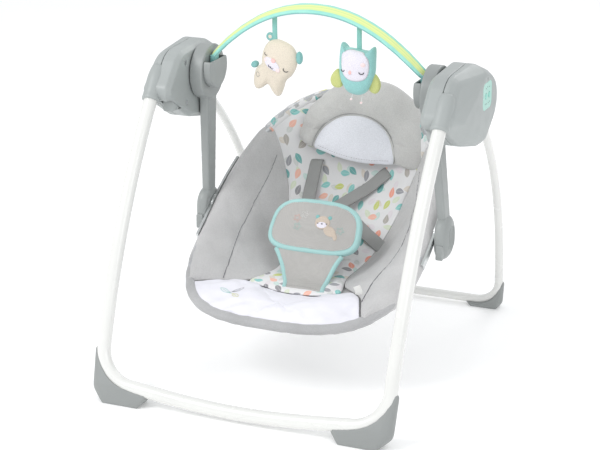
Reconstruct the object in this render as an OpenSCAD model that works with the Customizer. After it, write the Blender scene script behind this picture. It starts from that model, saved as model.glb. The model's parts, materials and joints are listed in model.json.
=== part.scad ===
// Portable baby swing: two motor housings on folding tube legs carry a pair of swing arms,
// and a reclining bucket seat hangs between them under a toy bar with two plush toys.
// +Z is up and -Y is the front. The origin lies on the floor at the centre of the footprint.

/* [Frame] */
// Overall depth, from the toes of the front feet to the heels of the rear feet
depth = 724; // [700:1:740]
// Distance from the middle of the object to the top of each front leg tube
front_leg_x = 268; // [266:1:270]
// Radius of the front leg tube
front_tube_r = 12; // [11:0.5:13]
// Radius of the rear leg tube
rear_tube_r = 8; // [7:0.5:8.5]

/* [Swing] */
// Height of the swing pivot above the floor
hub_z = 510; // [508:1:512]
// Radius of each hub drum
drum_r = 50; // [48:1:51]
// Radius of the steel hub axles
axle_r = 8; // [7:0.5:9]

/* [Seat] */
// Half of the seat's greatest width
seat_half_width = 215; // [205:1:215]
// Depth of the bucket below the seat ring
bucket_depth = 100; // [80:1:105]
// Radius of the seat ring's tube
ring_tube_r = 8; // [6:0.5:8]

/* [Toy bar] */
// Height of the top of the toy bar's arch
arch_top_z = 648; // [640:1:650]
// Width of the padded band over the toy bar
band_w = 28; // [24:1:30]

/* [Hidden] */
$fn = 48;

grey_shell = [0.72, 0.73, 0.73];
grey_arm = [0.58, 0.60, 0.60];
grey_cloth = [0.74, 0.74, 0.75];
white_tube = [0.95, 0.95, 0.94];
white_cloth = [0.94, 0.94, 0.97];
aqua = [0.55, 0.82, 0.78];
steel = [0.70, 0.71, 0.73];
dark = [0.22, 0.23, 0.24];

// Side-view places, as [y, z]
hub = [8, hub_z];
fold_pivot = [66, 474];
recline_pivot = [39, 244];
bar_pivot = [2, 512];

// Stations across the object, as distances from the middle
drum_x = [205, 229];
pod_x = [191, 205];
housing_in_x = 231;
split_x = 262;
recline_x = [222, 246];
rear_top_x = 270;
rear_low_x = 250;
wall = 3;
running = 0.05;

// The housing's outline is drawn round these discs, as [y, z, radius, outermost x]
housing_discs = [[-98, 494, 21, 288], [-45, 507, 52, 284], [30, 508, 54, 289], [62, 492, 54, 300],
    [-15, 464, 36, 290], [36, 459, 42, 300], [-62, 484, 17, 296], [38, 520, 35, 300]];
posts = [[-50, 535], [10, 549], [-48, 462], [18, 437]];

// ---- helpers ----

function unit(v) = v / norm(v);
function lerp(a, b, t) = a + (b - a) * t;

// A point on a line from a to b that bows sideways by sag at its middle, for [y, z] points
function bow(a, b, sag, t) =
    let (d = unit(b - a)) lerp(a, b, t) + [d[1], -d[0]] * sag * 4 * t * (1 - t);

function round_section(r, n) = [for (i = [0:n - 1]) r * [cos(360 * i / n), sin(360 * i / n)]];
function oval_section(a, b, n) = [for (i = [0:n - 1]) [a * cos(360 * i / n), b * sin(360 * i / n)]];
function box_section(a, b) = [[a, b], [-a, b], [-a, -b], [a, -b]] / 2;

function mirror_path(path) =
    concat(path, [for (i = [len(path) - 1:-1:0]) [-path[i][0], path[i][1], path[i][2]]]);

function tangent(path, i) = unit(path[min(i + 1, len(path) - 1)] - path[max(i - 1, 0)]);

// A closed solid: the section carried along the path, with its second axis turned towards ref x t
module sweep(path, section, ref) {
    n = len(path);
    m = len(section);
    points = [for (i = [0:n - 1])
        let (t = tangent(path, i), side = unit(cross(ref, t)), up = cross(t, side))
        for (q = section) path[i] + side * q[0] + up * q[1]];
    skin = [for (i = [0:n - 2]) for (j = [0:m - 1])
        let (k = i + 1, l = (j + 1) % m)
        for (f = [[i * m + j, k * m + j, k * m + l], [i * m + j, k * m + l, i * m + l]]) f];
    caps = [[for (j = [0:m - 1]) j], [for (j = [0:m - 1]) n * m - 1 - j]];
    polyhedron(points, concat(skin, caps), convexity = 10);
}

// A bent tube, open at both ends
module tube(path, r, thick, sides, ref) {
    last = len(path) - 1;
    bore = concat([path[0] + 2 * unit(path[0] - path[1])], path,
        [path[last] + 2 * unit(path[last] - path[last - 1])]);
    difference() {
        sweep(path, round_section(r, sides), ref);
        sweep(bore, round_section(r - thick, sides), ref);
    }
}

// A cylinder along +X
module x_rod(yz, r, x_from, x_to)
    translate([x_from, yz[0], yz[1]]) rotate([0, 90, 0]) cylinder(r = r, h = x_to - x_from);

module x_box(x, y, z) translate([x[0], y[0], z[0]]) cube([x[1] - x[0], y[1] - y[0], z[1] - z[0]]);

module left() mirror([1, 0, 0]) children();

module both_sides() {
    children();
    left() children();
}

// ---- housings ----

module housing_solid(shrink) hull() for (d = housing_discs)
    translate([0, d[0], d[1]]) rotate([0, 90, 0]) {
        translate([0, 0, housing_in_x + shrink]) cylinder(r = d[2] - 8 - shrink, h = 1, $fn = 32);
        translate([0, 0, housing_in_x + 8])
            cylinder(r = d[2] - shrink, h = d[3] - housing_in_x - 22, $fn = 32);
        translate([0, 0, d[3] - 6]) cylinder(r = d[2] - 7 - shrink, h = 1, $fn = 32);
        translate([0, 0, d[3] - shrink - 1]) cylinder(r = max(d[2] - 13 - shrink, 3), h = 1, $fn = 32);
    }

// The room that the folding rear leg sweeps through
module fold_slot() {
    slot = [258, 282];
    turns = [-16, 54];
    for (a = turns) translate([slot[0], fold_pivot[0], fold_pivot[1]]) rotate([a, 0, 0])
        translate([0, -13, -110]) cube([slot[1] - slot[0], 26, 110]);
    translate([slot[0], fold_pivot[0], fold_pivot[1]]) rotate([0, 90, 0]) rotate([0, 0, turns[0]])
        rotate_extrude(angle = turns[1] - turns[0]) square([110, slot[1] - slot[0]]);
    x_rod(fold_pivot, 15, slot[0], slot[1]);
}

// The bore that takes the top of the front leg, along the chord of the leg's first tenth
module leg_socket() {
    top = front_leg(0);
    chord = front_leg(0.1) - top;
    translate([front_leg_x, top[0], top[1]]) rotate([atan2(-chord[0], chord[1]), 0, 0])
        translate([0, 0, -6]) cylinder(r = front_tube_r + 0.8, h = 90);
}

module housing_cuts() {
    leg_socket();
    fold_slot();
    x_rod(hub, 13, housing_in_x - 1, 246);
    x_rod(fold_pivot, 5, 240, 293);
    for (p = posts) x_rod(p, 1.8, housing_in_x - 1, 288);
    for (p = posts) x_rod(p, 4.2, housing_in_x - 1, housing_in_x + 3.5);
    x_box([235.4, 255.6], [-110, -60], [454.4, 477.6]);
}

module housing_bosses() {
    x_rod(hub, 17, housing_in_x + 1, 246);
    x_rod(fold_pivot, 9, housing_in_x + 1, 257);
    x_rod(fold_pivot, 9, 283, 299);
    for (p = posts) x_rod(p, 5, housing_in_x + 1, 299);
}

module housing_half(x_from, x_to) difference() {
    intersection() {
        union() {
            difference() {
                housing_solid(0);
                housing_solid(wall);
            }
            intersection() {
                housing_solid(wall / 2);
                housing_bosses();
            }
        }
        x_box([x_from, x_to], [-140, 130], [400, 580]);
    }
    housing_cuts();
}

door_x = [240, 292];
door_z = [488, 545];

module door_box(gap) x_box([door_x[0] + gap, door_x[1] - gap], [93, 130], [door_z[0] + gap, door_z[1] - gap]);

panel_yz = [45, 506];
panel_x = [298.9, 299.7];

module panel_plate(grow, x_from, x_to) hull() for (y = [-14, 14]) for (z = [-13, 13])
    x_rod(panel_yz + [y, z], 11 + grow, x_from, x_to);

module housing_right_inner() color(grey_shell) difference() {
    housing_half(housing_in_x - 1, split_x);
    door_box(0);
}
module housing_right_outer() color(grey_shell) difference() {
    housing_half(split_x, 301);
    door_box(0);
    panel_plate(0.3, panel_x[0] - 0.1, 301);
    x_rod(panel_yz + [-8, 0], 5.5, 292, 301);
    x_rod(panel_yz + [10, 0], 5.5, 292, 301);
    x_rod(panel_yz + [0, 30], 2, 292, 301);
}
module housing_left_inner() color(grey_shell) left() housing_half(housing_in_x - 1, split_x);
module housing_left_outer() color(grey_shell) left() housing_half(split_x, 301);

module battery_door() color(grey_shell) intersection() {
    difference() {
        housing_solid(0);
        housing_solid(wall);
    }
    door_box(0.5);
}

module control_panel() color(aqua) difference() {
    panel_plate(0, panel_x[0], panel_x[1]);
    x_rod(panel_yz + [-8, 0], 5.5, 298, 301);
    x_rod(panel_yz + [10, 0], 5.5, 298, 301);
}
module panel_button(y) {
    x_rod(panel_yz + [y, 0], 5, 294, 300);
    x_rod(panel_yz + [y, 0], 7, 293, 294);
}
module power_button() color(aqua) panel_button(-8);
module music_button() color(aqua) panel_button(10);

module circuit_board() color([0.2, 0.45, 0.3]) x_box([289.6, 291.2], [18, 76], [490, 527]);
module speaker() color(dark) {
    x_rod([-38, 505], 18, 272, 284);
    x_rod([-38, 505], 10, 264, 272);
}
cells = [for (y = [41, 67.5]) for (z = [500, 526.5]) [y, z]];
module batteries() color([0.3, 0.32, 0.35]) for (c = cells) {
    x_rod(c, 13, 238, 286.5);
    x_rod(c, 3, 286.5, 288);
}
module battery_contacts() color(steel) for (c = cells) {
    x_rod(c, 5, 236.4, 237.8);
    x_rod(c, 4.5, 288.1, 289.2);
}

// ---- drive ----

module hub_bushings() color([0.9, 0.9, 0.86]) both_sides() difference() {
    x_rod(hub, 13, housing_in_x, 246);
    x_rod(hub, axle_r + running, housing_in_x - 1, 247);
}
module hub_axles() color(steel) both_sides() x_rod(hub, axle_r, drum_x[0] + 1, 258);
module magnet_lever() color(grey_arm) difference() {
    union() {
        x_rod(hub, 14, 248, 254);
        x_box([248, 254], [0, 16], [456, 505]);
    }
    x_rod(hub, axle_r, 247, 255);
}
module drive_magnet() color(dark) x_box([247, 256], [-4, 20], [446, 456]);
module drive_coil() color([0.72, 0.42, 0.2]) difference() {
    x_rod([8, 451], 12, 257.5, 266);
    x_rod([8, 451], 5, 256, 267);
}
module fold_pins() color(steel) both_sides() x_rod(fold_pivot, 5, 242, 291);
module housing_screws() color(steel) both_sides() for (p = posts) {
    x_rod(p, 4, housing_in_x + 0.6, housing_in_x + 3.4);
    x_rod(p, 1.7, housing_in_x + 3.4, 284);
}
module fold_button() color(grey_arm) difference() {
    x_box([236, 255], [-88, -66], [455, 477]);
    x_box([240, 251], [-82, -65], [459, 473]);
}
module fold_button_right() fold_button();
module fold_button_left() left() fold_button();

// ---- legs ----

// The front leg's centreline as [y, z], from the housing at t = 0 to the corner at t = 1
front_corner = [-323.5, 92];
front_bend_r = 66;
front_low_x = front_leg_x - 4;
function front_leg(t) = bow([-90, 517], front_corner, 23, t);
front_bar = [-344, 30];
front_bar_mid = [-346, 17];
front_side = [for (i = [0:12]) let (t = i / 12, q = front_leg(t))
    [lerp(front_leg_x, front_low_x, t), q[0], q[1]]];
front_bend = [for (a = [15:15:90]) [front_low_x - front_bend_r * (1 - cos(a)),
    lerp(front_corner[0], front_bar[0], sin(a)), lerp(front_corner[1], front_bar[1], sin(a))]];
front_floor = [for (i = [1:7]) let (t = i / 7, q = lerp(front_bar, front_bar_mid, sin(90 * t)))
    [(front_low_x - front_bend_r) * (1 - t), q[0], q[1]]];
front_half = concat(front_side, front_bend, front_floor);
front_path = concat(front_half, [for (i = [len(front_half) - 2:-1:0])
    [-front_half[i][0], front_half[i][1], front_half[i][2]]]);

rear_corner = [333, 60];
rear_bend_r = 48;
rear_bar = [345, 12];
rear_side = [for (i = [0:12]) let (t = i / 12, q = bow([96, 452], rear_corner, -44, t))
    [lerp(rear_top_x, rear_low_x, t), q[0], q[1]]];
rear_bend = [for (a = [18:18:90]) [rear_low_x - rear_bend_r * (1 - cos(a)),
    lerp(rear_corner[0], rear_bar[0], sin(a)), lerp(rear_corner[1], rear_bar[1], sin(a))]];
rear_path = mirror_path(concat(rear_side, rear_bend));

front_ref = [0, 0.9, -0.43];
rear_ref = [0, 0.9, 0.43];
module front_leg_tube() color(white_tube) tube(front_path, front_tube_r, 1.5, 12, front_ref);
module rear_leg_tube() color(white_tube) tube(rear_path, rear_tube_r, 1.5, 12, rear_ref);

module rear_knuckles() color(grey_arm) both_sides() difference() {
    union() {
        x_rod(fold_pivot, 12, 260, 280);
        translate([rear_top_x, fold_pivot[0], fold_pivot[1]]) rotate([-37, 0, 0])
            translate([-9, 0, -9]) cube([18, 36, 18]);
    }
    x_rod(fold_pivot, 5 + running, 259, 281);
}

// The side of a leg's bend that the boot leaves bare, in the plane that leans with the leg
module bend_inside(x, bend_r, corner, bar, lean, lip) translate([x - bend_r, corner[0], corner[1]])
    rotate([90 - lean, 0, 0]) linear_extrude(90, center = true) {
        down = (corner[1] - bar[1]) / cos(lean);
        polygon(concat([[-70, 120], [-70, -down - lip], [0, -down - lip]],
            [for (a = [-75:15:0]) [(bend_r + lip) * cos(a), (down + lip) * sin(a)]],
            [[bend_r + lip + 2, 120]]));
    }

// A boot outside the bend of a leg: a tip up the leg, a round heel, a flat sole and a toe along the bar
module boot(tip, heel, toe, r, sole) hull() {
    translate(tip) sphere(r = r * 0.45, $fn = 16);
    translate(heel) sphere(r = r, $fn = 24);
    translate(toe) sphere(r = r * 0.5, $fn = 16);
    x_box([sole[0], sole[1]], [sole[2], sole[3]], [0, 3]);
}

module front_boot() difference() {
    boot([front_low_x + 6, -326, 84], [256, -341, 27], [170, -344, 30], 20, [184, 252, -depth / 2, -324]);
    bend_inside(front_low_x, front_bend_r, front_corner, front_bar, 18, 4.5);
}
module rear_boot() difference() {
    boot([rear_low_x + 5, 335, 54], [243, 344, 16], [182, 346, 13], 13, [194, 246, 330, depth / 2]);
    bend_inside(rear_low_x, rear_bend_r, rear_corner, rear_bar, -14, 3);
}
module front_foot_right() color(grey_arm) difference() {
    front_boot();
    sweep(front_path, round_section(front_tube_r, 12), front_ref);
}
module front_foot_left() color(grey_arm) difference() {
    left() front_boot();
    sweep(front_path, round_section(front_tube_r, 12), front_ref);
}
module rear_foot_right() color(grey_arm) difference() {
    rear_boot();
    sweep(rear_path, round_section(rear_tube_r, 12), rear_ref);
}
module rear_foot_left() color(grey_arm) difference() {
    left() rear_boot();
    sweep(rear_path, round_section(rear_tube_r, 12), rear_ref);
}

// ---- swing arms ----

arm_top = [217, 10, 480];
arm_low = [231, 37, 262];

module arm_beam() hull() {
    translate(arm_top) cube([18, 36, 2], center = true);
    translate(arm_top) cube([12, 40, 2], center = true);
    translate(arm_low) cube([15, 24, 2], center = true);
    translate(arm_low) cube([10, 28, 2], center = true);
}
module swing_arm() color(grey_arm) difference() {
    union() {
        x_rod(hub, drum_r, drum_x[0], drum_x[1]);
        arm_beam();
    }
    x_rod(hub, axle_r, drum_x[0] - 1, drum_x[1] + 1);
}
module swing_arm_right() swing_arm();
module swing_arm_left() left() swing_arm();

// A D-shaped cover on the drum, hollow and open at the top for the toy bar's end
pod_top_z = 535;
module toy_bar_pods() color(grey_arm) both_sides() {
    difference() {
        intersection() {
            x_rod([2, 520], 37, pod_x[0], pod_x[1]);
            x_box([190, 206], [-40, 45], [480, pod_top_z]);
        }
        intersection() {
            x_rod([2, 520], 34, pod_x[0] + 2.5, pod_x[1] + 1);
            x_box([190, 206], [-40, 45], [483, pod_top_z + 1]);
        }
    }
    x_rod(bar_pivot, 4, pod_x[0] + 1, pod_x[1] - 0.5);
}

module recline_housing() color(grey_shell) difference() {
    intersection() {
        x_rod([24, 243], 43, recline_x[0], recline_x[1]);
        x_box([221, 247], [2, 70], [203, 282]);
    }
    x_rod(recline_pivot, 6 + running, 221, 242);
    x_box([227, 241], [1, 13], [208, 236]);
}
module recline_housing_right() recline_housing();
module recline_housing_left() left() recline_housing();
module recline_button() color(dark) x_box([227.5, 240.5], [0, 9], [208.5, 235.5]);
module recline_button_right() recline_button();
module recline_button_left() left() recline_button();

// ---- seat ----

seat_front = 260;
seat_back = 307;
seat_len = seat_front + seat_back;
seat_mid = [25, 249];
seat_tilt = 34.4;
seat_bend_r = 825;

// Half-width of the seat at arc length s from its front edge
function seat_w(s) = seat_half_width * (s < seat_front
    ? pow(1 - pow(1 - s / seat_front, 3), 1 / 3)
    : pow(1 - pow((s - seat_front) / seat_back, 2.3), 1 / 2.3));
// The same outline drawn in by a gap all round
function inner_w(s, gap) = (seat_half_width - gap) * (s < seat_front
    ? pow(1 - pow((seat_front - s) / (seat_front - gap), 3), 1 / 3)
    : pow(1 - pow((s - seat_front) / (seat_back - gap), 2.3), 1 / 2.3));
function inner_v(s, gap) = inner_w(s, gap) / seat_w(s);
function seat_angle(s) = seat_tilt + (s - seat_len / 2) / seat_bend_r * 180 / PI;
function seat_normal(s) = [sin(seat_angle(s)), -cos(seat_angle(s))];
function seat_line(s) = seat_mid + seat_bend_r * [sin(seat_angle(s)) - sin(seat_tilt),
    cos(seat_tilt) - cos(seat_angle(s))];
// How far the bucket hangs below the ring on the centreline
function seat_drop(s) =
    let (from = 330, reach = s < from ? 300 : 330) bucket_depth * pow(cos(90 * (s - from) / reach), 2);
// A point on the bucket: s along, v across from -1 to 1, lifted off the cloth towards the sitter
function seat_point(s, v, lift) =
    let (q = seat_line(s) + seat_normal(s) * (seat_drop(s) * (1 - pow(abs(v), 2.5)) - lift))
    [v * seat_w(s), q[0], q[1]];

// A closed slab over part of the bucket, thinner towards its edges
module seat_patch(s_from, s_to, v_from, v_to, low, high, ns = 14, nv = 10) {
    row = nv + 1;
    layer = (ns + 1) * row;
    points = [for (k = [0, 1]) for (i = [0:ns]) for (j = [0:nv])
        let (s = lerp(s_from, s_to, i / ns),
            v = lerp(v_from(s), v_to(s), j / nv),
            crown = 0.55 + 0.45 * sqrt(max(0, sin(180 * i / ns) * sin(180 * j / nv))))
        seat_point(s, v, k == 0 ? low(s) : lerp(low(s), high(s), crown))];
    rim = concat([for (j = [0:nv - 1]) j], [for (i = [0:ns - 1]) i * row + nv],
        [for (j = [nv:-1:1]) ns * row + j], [for (i = [ns:-1:1]) i * row]);
    top = [for (i = [0:ns - 1]) for (j = [0:nv - 1]) let (a = layer + i * row + j)
        for (f = [[a, a + row, a + row + 1], [a, a + row + 1, a + 1]]) f];
    under = [for (f = top) [f[0] - layer, f[2] - layer, f[1] - layer]];
    sides = [for (i = [0:len(rim) - 1]) let (a = rim[i], b = rim[(i + 1) % len(rim)])
        for (f = [[a + layer, b + layer, b], [a + layer, b, a]]) f];
    polyhedron(points, concat(top, under, sides), convexity = 10);
}

function signed_pow(x, p) = sign(x) * pow(abs(x), p);
ring_gap = 0.3;
ring_path = [for (i = [0:48])
    let (a = lerp(90 + ring_gap, 450 - ring_gap, i / 48), n = sin(a) < 0 ? 3 : 2.3,
        reach = (sin(a) < 0 ? seat_front : seat_back) - ring_tube_r,
        s = seat_front + reach * signed_pow(sin(a), 2 / n), q = seat_line(s))
    [(seat_half_width - ring_tube_r) * signed_pow(cos(a), 2 / n), q[0], q[1]]];
module seat_ring() color(steel)
    tube(ring_path, ring_tube_r, 1.2, 10, [0, 0.56, -0.83]);

bracket_path = [for (i = [0:8]) let (s = lerp(205, 395, i / 8), q = seat_line(s))
    [seat_w(s) + 3.4, q[0], q[1]]];
module seat_brackets() color(steel) both_sides() difference() {
    union() {
        sweep(bracket_path, box_section(13, 4.4), [1, 0, 0]);
        x_rod(recline_pivot, 22, 216.2, 220.6);
    }
    x_rod(recline_pivot, 6, 215, 222);
}
module recline_axles() color(steel) both_sides() x_rod(recline_pivot, 6, 216.2, 240);

cloth_gap = 18.5;
module seat_shell() color(grey_cloth) seat_patch(cloth_gap + 1, seat_len - cloth_gap - 1,
    function(s) -inner_v(s, cloth_gap), function(s) inner_v(s, cloth_gap),
    function(s) -6, function(s) 0, 22, 16);

// The side bolsters start at this share of the half-width and leave the pad between them
function bolster_v(s) =
    0.3 + 0.45 * pow(max(0, 200 - s) / 90, 2) + 0.0015 * max(0, s - 200) + 0.0025 * max(0, s - 400);
function pad_v(s) = min(bolster_v(s) - 0.05, inner_v(s, 24));
module seat_pad() color(white_cloth) seat_patch(117, 534, function(s) -pad_v(s), function(s) pad_v(s),
    function(s) 0.4, function(s) 10, 18, 10);
module side_bolster() color(grey_cloth) seat_patch(115, 478, function(s) min(0.87, bolster_v(s)),
    function(s) inner_v(s, cloth_gap + 1), function(s) 0.4, function(s) 20, 16, 8);
module side_bolster_right() side_bolster();
module side_bolster_left() left() side_bolster();
module front_panel() color(white_cloth) seat_patch(cloth_gap + 4, 112, function(s) -inner_v(s, cloth_gap + 1),
    function(s) inner_v(s, cloth_gap + 1), function(s) 0.4, function(s) 9, 6, 12);

// The pillow is a thick round cushion, cut off flat below, that leans back a little
pillow_place = [0, 174, 320];
pillow_lean = -8;
module pillow_disc(r, up, from, thick) translate(pillow_place) rotate([pillow_lean, 0, 0]) intersection() {
    translate([0, from, up]) rotate([-90, 0, 0]) cylinder(r = r, h = thick);
    translate([-150, -50, -3]) cube([300, 100, 200]);
}
module head_pillow() color(grey_cloth) difference() {
    pillow_disc(115, 32, -20, 22);
    pillow_disc(78.5, 0, -21, 12);
}
module pillow_insert() color(white_cloth) pillow_disc(78, 0, -18, 8.5);

// ---- harness ----

// A flat strap between two places, with its width turned towards wide
module strap(a, b, wide, w = 25, h = 2.4) sweep([a, lerp(a, b, 0.5), b], box_section(h, w), wide);

module shoulder_straps() color(grey_cloth) both_sides() strap([60, 166, 306], [50, 34, 281], [1, 0, 0]);
module waist_straps() color(grey_cloth) both_sides() strap([89, 10, 240], [122, 72, 226], [0, 0.2, 1]);

pad_mid = [0, -4, 242];
module pad_place() translate(pad_mid) rotate([52, 0, 0]) children();
module waist_pad() color(grey_cloth) pad_place() hull() for (x = [-54, 54])
    for (y = [-18, 16]) translate([x, y, -7]) cylinder(r = 32, h = 14, $fn = 32);
module harness_buckle() color(dark) pad_place() translate([-24, -20, -18]) cube([48, 36, 10]);
module crotch_panel() color(grey_cloth) hull() {
    translate([-30, -44, 194]) cube([60, 10, 4]);
    translate([-42, -118, 172]) cube([84, 6, 6]);
}
module label_tag() color(white_cloth) translate([150, -166, 170]) rotate([0, 0, 20]) cube([1.2, 12, 18]);

// ---- toy bar and toys ----

// The arch at a parameter from 0 to 180 degrees. The band is flat: band_w along Y, band_t through it
bar_foot = [199.3, 542];
band_t = 9;
function arch_point(a) = [bar_foot[0] * cos(a), lerp(2, -9, sin(a)),
    bar_foot[1] + (arch_top_z - band_t / 2 - bar_foot[1]) * (1 - pow(abs(cos(a)), 2.1))];
arch_path = [for (i = [0:20]) arch_point(lerp(4, 176, i / 20))];
core_path = concat([arch_point(0)], arch_path, [arch_point(180)]);
module toy_bar_core() color(white_cloth) sweep(core_path, oval_section(1.8, 9, 8), [0, 1, 0]);
module toy_bar_sleeve() color(aqua) difference() {
    sweep(arch_path, oval_section(band_t / 2, band_w / 2, 12), [0, 1, 0]);
    sweep(arch_path, oval_section(2, 9.2, 8), [0, 1, 0]);
}
module toy_bar_ends() color(aqua) both_sides() difference() {
    union() {
        x_rod(bar_pivot, 12, 195, 203);
        x_box([195.4, 203], [-9, 13], [bar_pivot[1], 543.4]);
    }
    x_rod(bar_pivot, 4 + running, 194, 204);
}

bear_x = -75;
owl_x = 82;
toy_pivot_z = 619;
module toy_strap(x, low) {
    translate([x - 7, -8, low]) cube([14, 1.6, toy_pivot_z - low]);
    translate([x, -7.2, low]) rotate([90, 0, 0]) rotate_extrude($fn = 24)
        translate([8, 0]) circle(r = 1.6, $fn = 13);
}
module plush(x, z, size) translate([x, -7, z]) resize(size) sphere(r = 30, $fn = 24);
module bear_strap() color(aqua) toy_strap(bear_x, 592);
module owl_strap() color(aqua) toy_strap(owl_x, 594);
module bear_plush() color([0.86, 0.82, 0.76]) difference() {
    plush(bear_x + 2, 534, [90, 36, 106]);
    translate([bear_x - 11, -10, 580]) cube([22, 6, 20]);
}
module owl_plush() color(aqua) difference() {
    plush(owl_x - 3, 543, [92, 36, 94]);
    translate([owl_x - 11, -10, 583]) cube([22, 6, 20]);
}

housing_right_inner();
housing_right_outer();
housing_left_inner();
housing_left_outer();
battery_door();
control_panel();
power_button();
music_button();
circuit_board();
speaker();
batteries();
battery_contacts();
drive_coil();
drive_magnet();
magnet_lever();
hub_bushings();
fold_pins();
housing_screws();
fold_button_left();
fold_button_right();
front_leg_tube();
front_foot_left();
front_foot_right();
rear_leg_tube();
rear_knuckles();
rear_foot_left();
rear_foot_right();
hub_axles();
swing_arm_left();
swing_arm_right();
toy_bar_pods();
recline_housing_left();
recline_housing_right();
recline_button_left();
recline_button_right();
recline_axles();
seat_brackets();
seat_ring();
seat_shell();
seat_pad();
side_bolster_left();
side_bolster_right();
front_panel();
head_pillow();
pillow_insert();
shoulder_straps();
waist_straps();
crotch_panel();
waist_pad();
harness_buckle();
label_tag();
toy_bar_core();
toy_bar_sleeve();
toy_bar_ends();
bear_strap();
bear_plush();
owl_strap();
owl_plush();
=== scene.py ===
"""Looks of a portable baby swing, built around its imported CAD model. All sizes are in metres."""

import json
import math
import random

import bmesh
import bpy
import numpy as np
from mathutils import Matrix, Vector, kdtree
from mathutils.bvhtree import BVHTree

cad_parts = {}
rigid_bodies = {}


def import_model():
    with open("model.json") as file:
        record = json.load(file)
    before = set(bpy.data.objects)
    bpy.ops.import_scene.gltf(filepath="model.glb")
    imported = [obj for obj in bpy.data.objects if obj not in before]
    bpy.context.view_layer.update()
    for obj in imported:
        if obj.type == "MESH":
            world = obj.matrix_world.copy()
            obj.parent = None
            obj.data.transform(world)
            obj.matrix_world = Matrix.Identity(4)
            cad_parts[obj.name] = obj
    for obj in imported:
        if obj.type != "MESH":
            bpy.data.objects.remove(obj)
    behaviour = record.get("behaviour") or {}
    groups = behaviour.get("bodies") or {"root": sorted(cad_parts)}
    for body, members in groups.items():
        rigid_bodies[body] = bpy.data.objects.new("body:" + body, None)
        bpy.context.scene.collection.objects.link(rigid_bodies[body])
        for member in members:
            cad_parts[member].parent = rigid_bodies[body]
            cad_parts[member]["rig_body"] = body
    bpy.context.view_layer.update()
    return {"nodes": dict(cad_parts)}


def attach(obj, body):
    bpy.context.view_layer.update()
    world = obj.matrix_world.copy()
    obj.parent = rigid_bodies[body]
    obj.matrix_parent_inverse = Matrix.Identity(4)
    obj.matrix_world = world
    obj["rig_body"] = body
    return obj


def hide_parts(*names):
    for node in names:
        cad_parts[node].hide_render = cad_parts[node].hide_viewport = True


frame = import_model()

NODES = frame["nodes"]
SIDES = ((-1, "left"), (1, "right"))
random.seed(7)


# ---- camera, floor and light ----

def add_camera():
    azimuth, elevation, distance = math.radians(22.76), math.radians(18.54), 3.343
    back = Vector((math.sin(azimuth) * math.cos(elevation), -math.cos(azimuth) * math.cos(elevation),
                   math.sin(elevation)))
    data = bpy.data.cameras.new("camera")
    data.lens = 110.3
    data.sensor_width = 36
    data.shift_x = 0.0116
    camera = bpy.data.objects.new("camera", data)
    camera.location = Vector((-0.0452, 0, 0.2394)) + back * distance
    camera.rotation_euler = back.to_track_quat("Z", "Y").to_euler()
    bpy.context.collection.objects.link(camera)
    bpy.context.scene.camera = camera


def add_light(name, place, size, power):
    data = bpy.data.lights.new(name, "AREA")
    data.shape = "DISK"
    data.size = size
    data.energy = power
    light = bpy.data.objects.new(name, data)
    light.location = place
    light.rotation_euler = (Vector(place) - Vector((0, 0, 0.3))).to_track_quat("Z", "Y").to_euler()
    bpy.context.collection.objects.link(light)


def add_studio():
    world = bpy.data.worlds.new("studio")
    world.use_nodes = True
    world.node_tree.nodes["Background"].inputs["Color"].default_value = (0.97, 0.985, 1, 1)
    world.node_tree.nodes["Background"].inputs["Strength"].default_value = 0.82
    bpy.context.scene.world = world
    bpy.context.scene.view_settings.view_transform = "Standard"
    add_light("key", (-1.7, -2.1, 2.6), 1.5, 46)
    add_light("fill", (2.2, -1.6, 1.5), 1.8, 13)
    add_light("back", (0.6, 2.4, 2.2), 1.4, 16)
    size = 6.0
    floor = mesh_object("floor", [(-size, -size, 0), (size, -size, 0), (size, size, 0), (-size, size, 0)],
                        [(0, 1, 2, 3)])
    floor.data.materials.append(floor_paint())


# ---- mesh helpers ----

def mesh_object(name, verts, faces, uv=None):
    mesh = bpy.data.meshes.new(name)
    mesh.from_pydata([[float(c) for c in v] for v in verts], [], [[int(i) for i in f] for f in faces])
    if uv is not None:
        layer = mesh.uv_layers.new(name="cloth")
        for loop in mesh.loops:
            layer.data[loop.index].uv = uv[loop.vertex_index]
    mesh.validate()
    mesh.shade_smooth()
    obj = bpy.data.objects.new(name, mesh)
    bpy.context.collection.objects.link(obj)
    return obj


def coords(obj, what="co"):
    """The vertices' places, or their normals, as rows of three."""
    out = np.empty(len(obj.data.vertices) * 3)
    obj.data.vertices.foreach_get(what, out)
    return out.reshape(-1, 3)


def set_coords(obj, points):
    obj.data.vertices.foreach_set("co", np.asarray(points, dtype=float).ravel())
    obj.data.update()


def bake(obj):
    """Applies every modifier of a piece to its mesh."""
    graph = bpy.context.evaluated_depsgraph_get()
    mesh = bpy.data.meshes.new_from_object(obj.evaluated_get(graph))
    obj.modifiers.clear()
    obj.data = mesh
    mesh.shade_smooth()
    return obj


def subdivide(obj):
    modifier = obj.modifiers.new("subdivision", "SUBSURF")
    modifier.levels = modifier.render_levels = 1
    return bake(obj)


def finish_piece(obj, body, material, slot=None, *nodes):
    """Paints a piece, ties it to its body and hides the CAD nodes that it stands for; its finish slot is not
    used.
    """
    obj.data.materials.clear()
    obj.data.materials.append(material)
    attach(obj, body)
    if nodes:
        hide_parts(*nodes)
    return obj


def join(name, objs):
    """One object out of several, each of which keeps its own closed surface."""
    verts, faces = [], []
    for obj in objs:
        base = len(verts)
        verts += [obj.matrix_world @ v.co for v in obj.data.vertices]
        faces += [[base + i for i in p.vertices] for p in obj.data.polygons]
        bpy.data.objects.remove(obj)
    return mesh_object(name, verts, faces)


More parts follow.
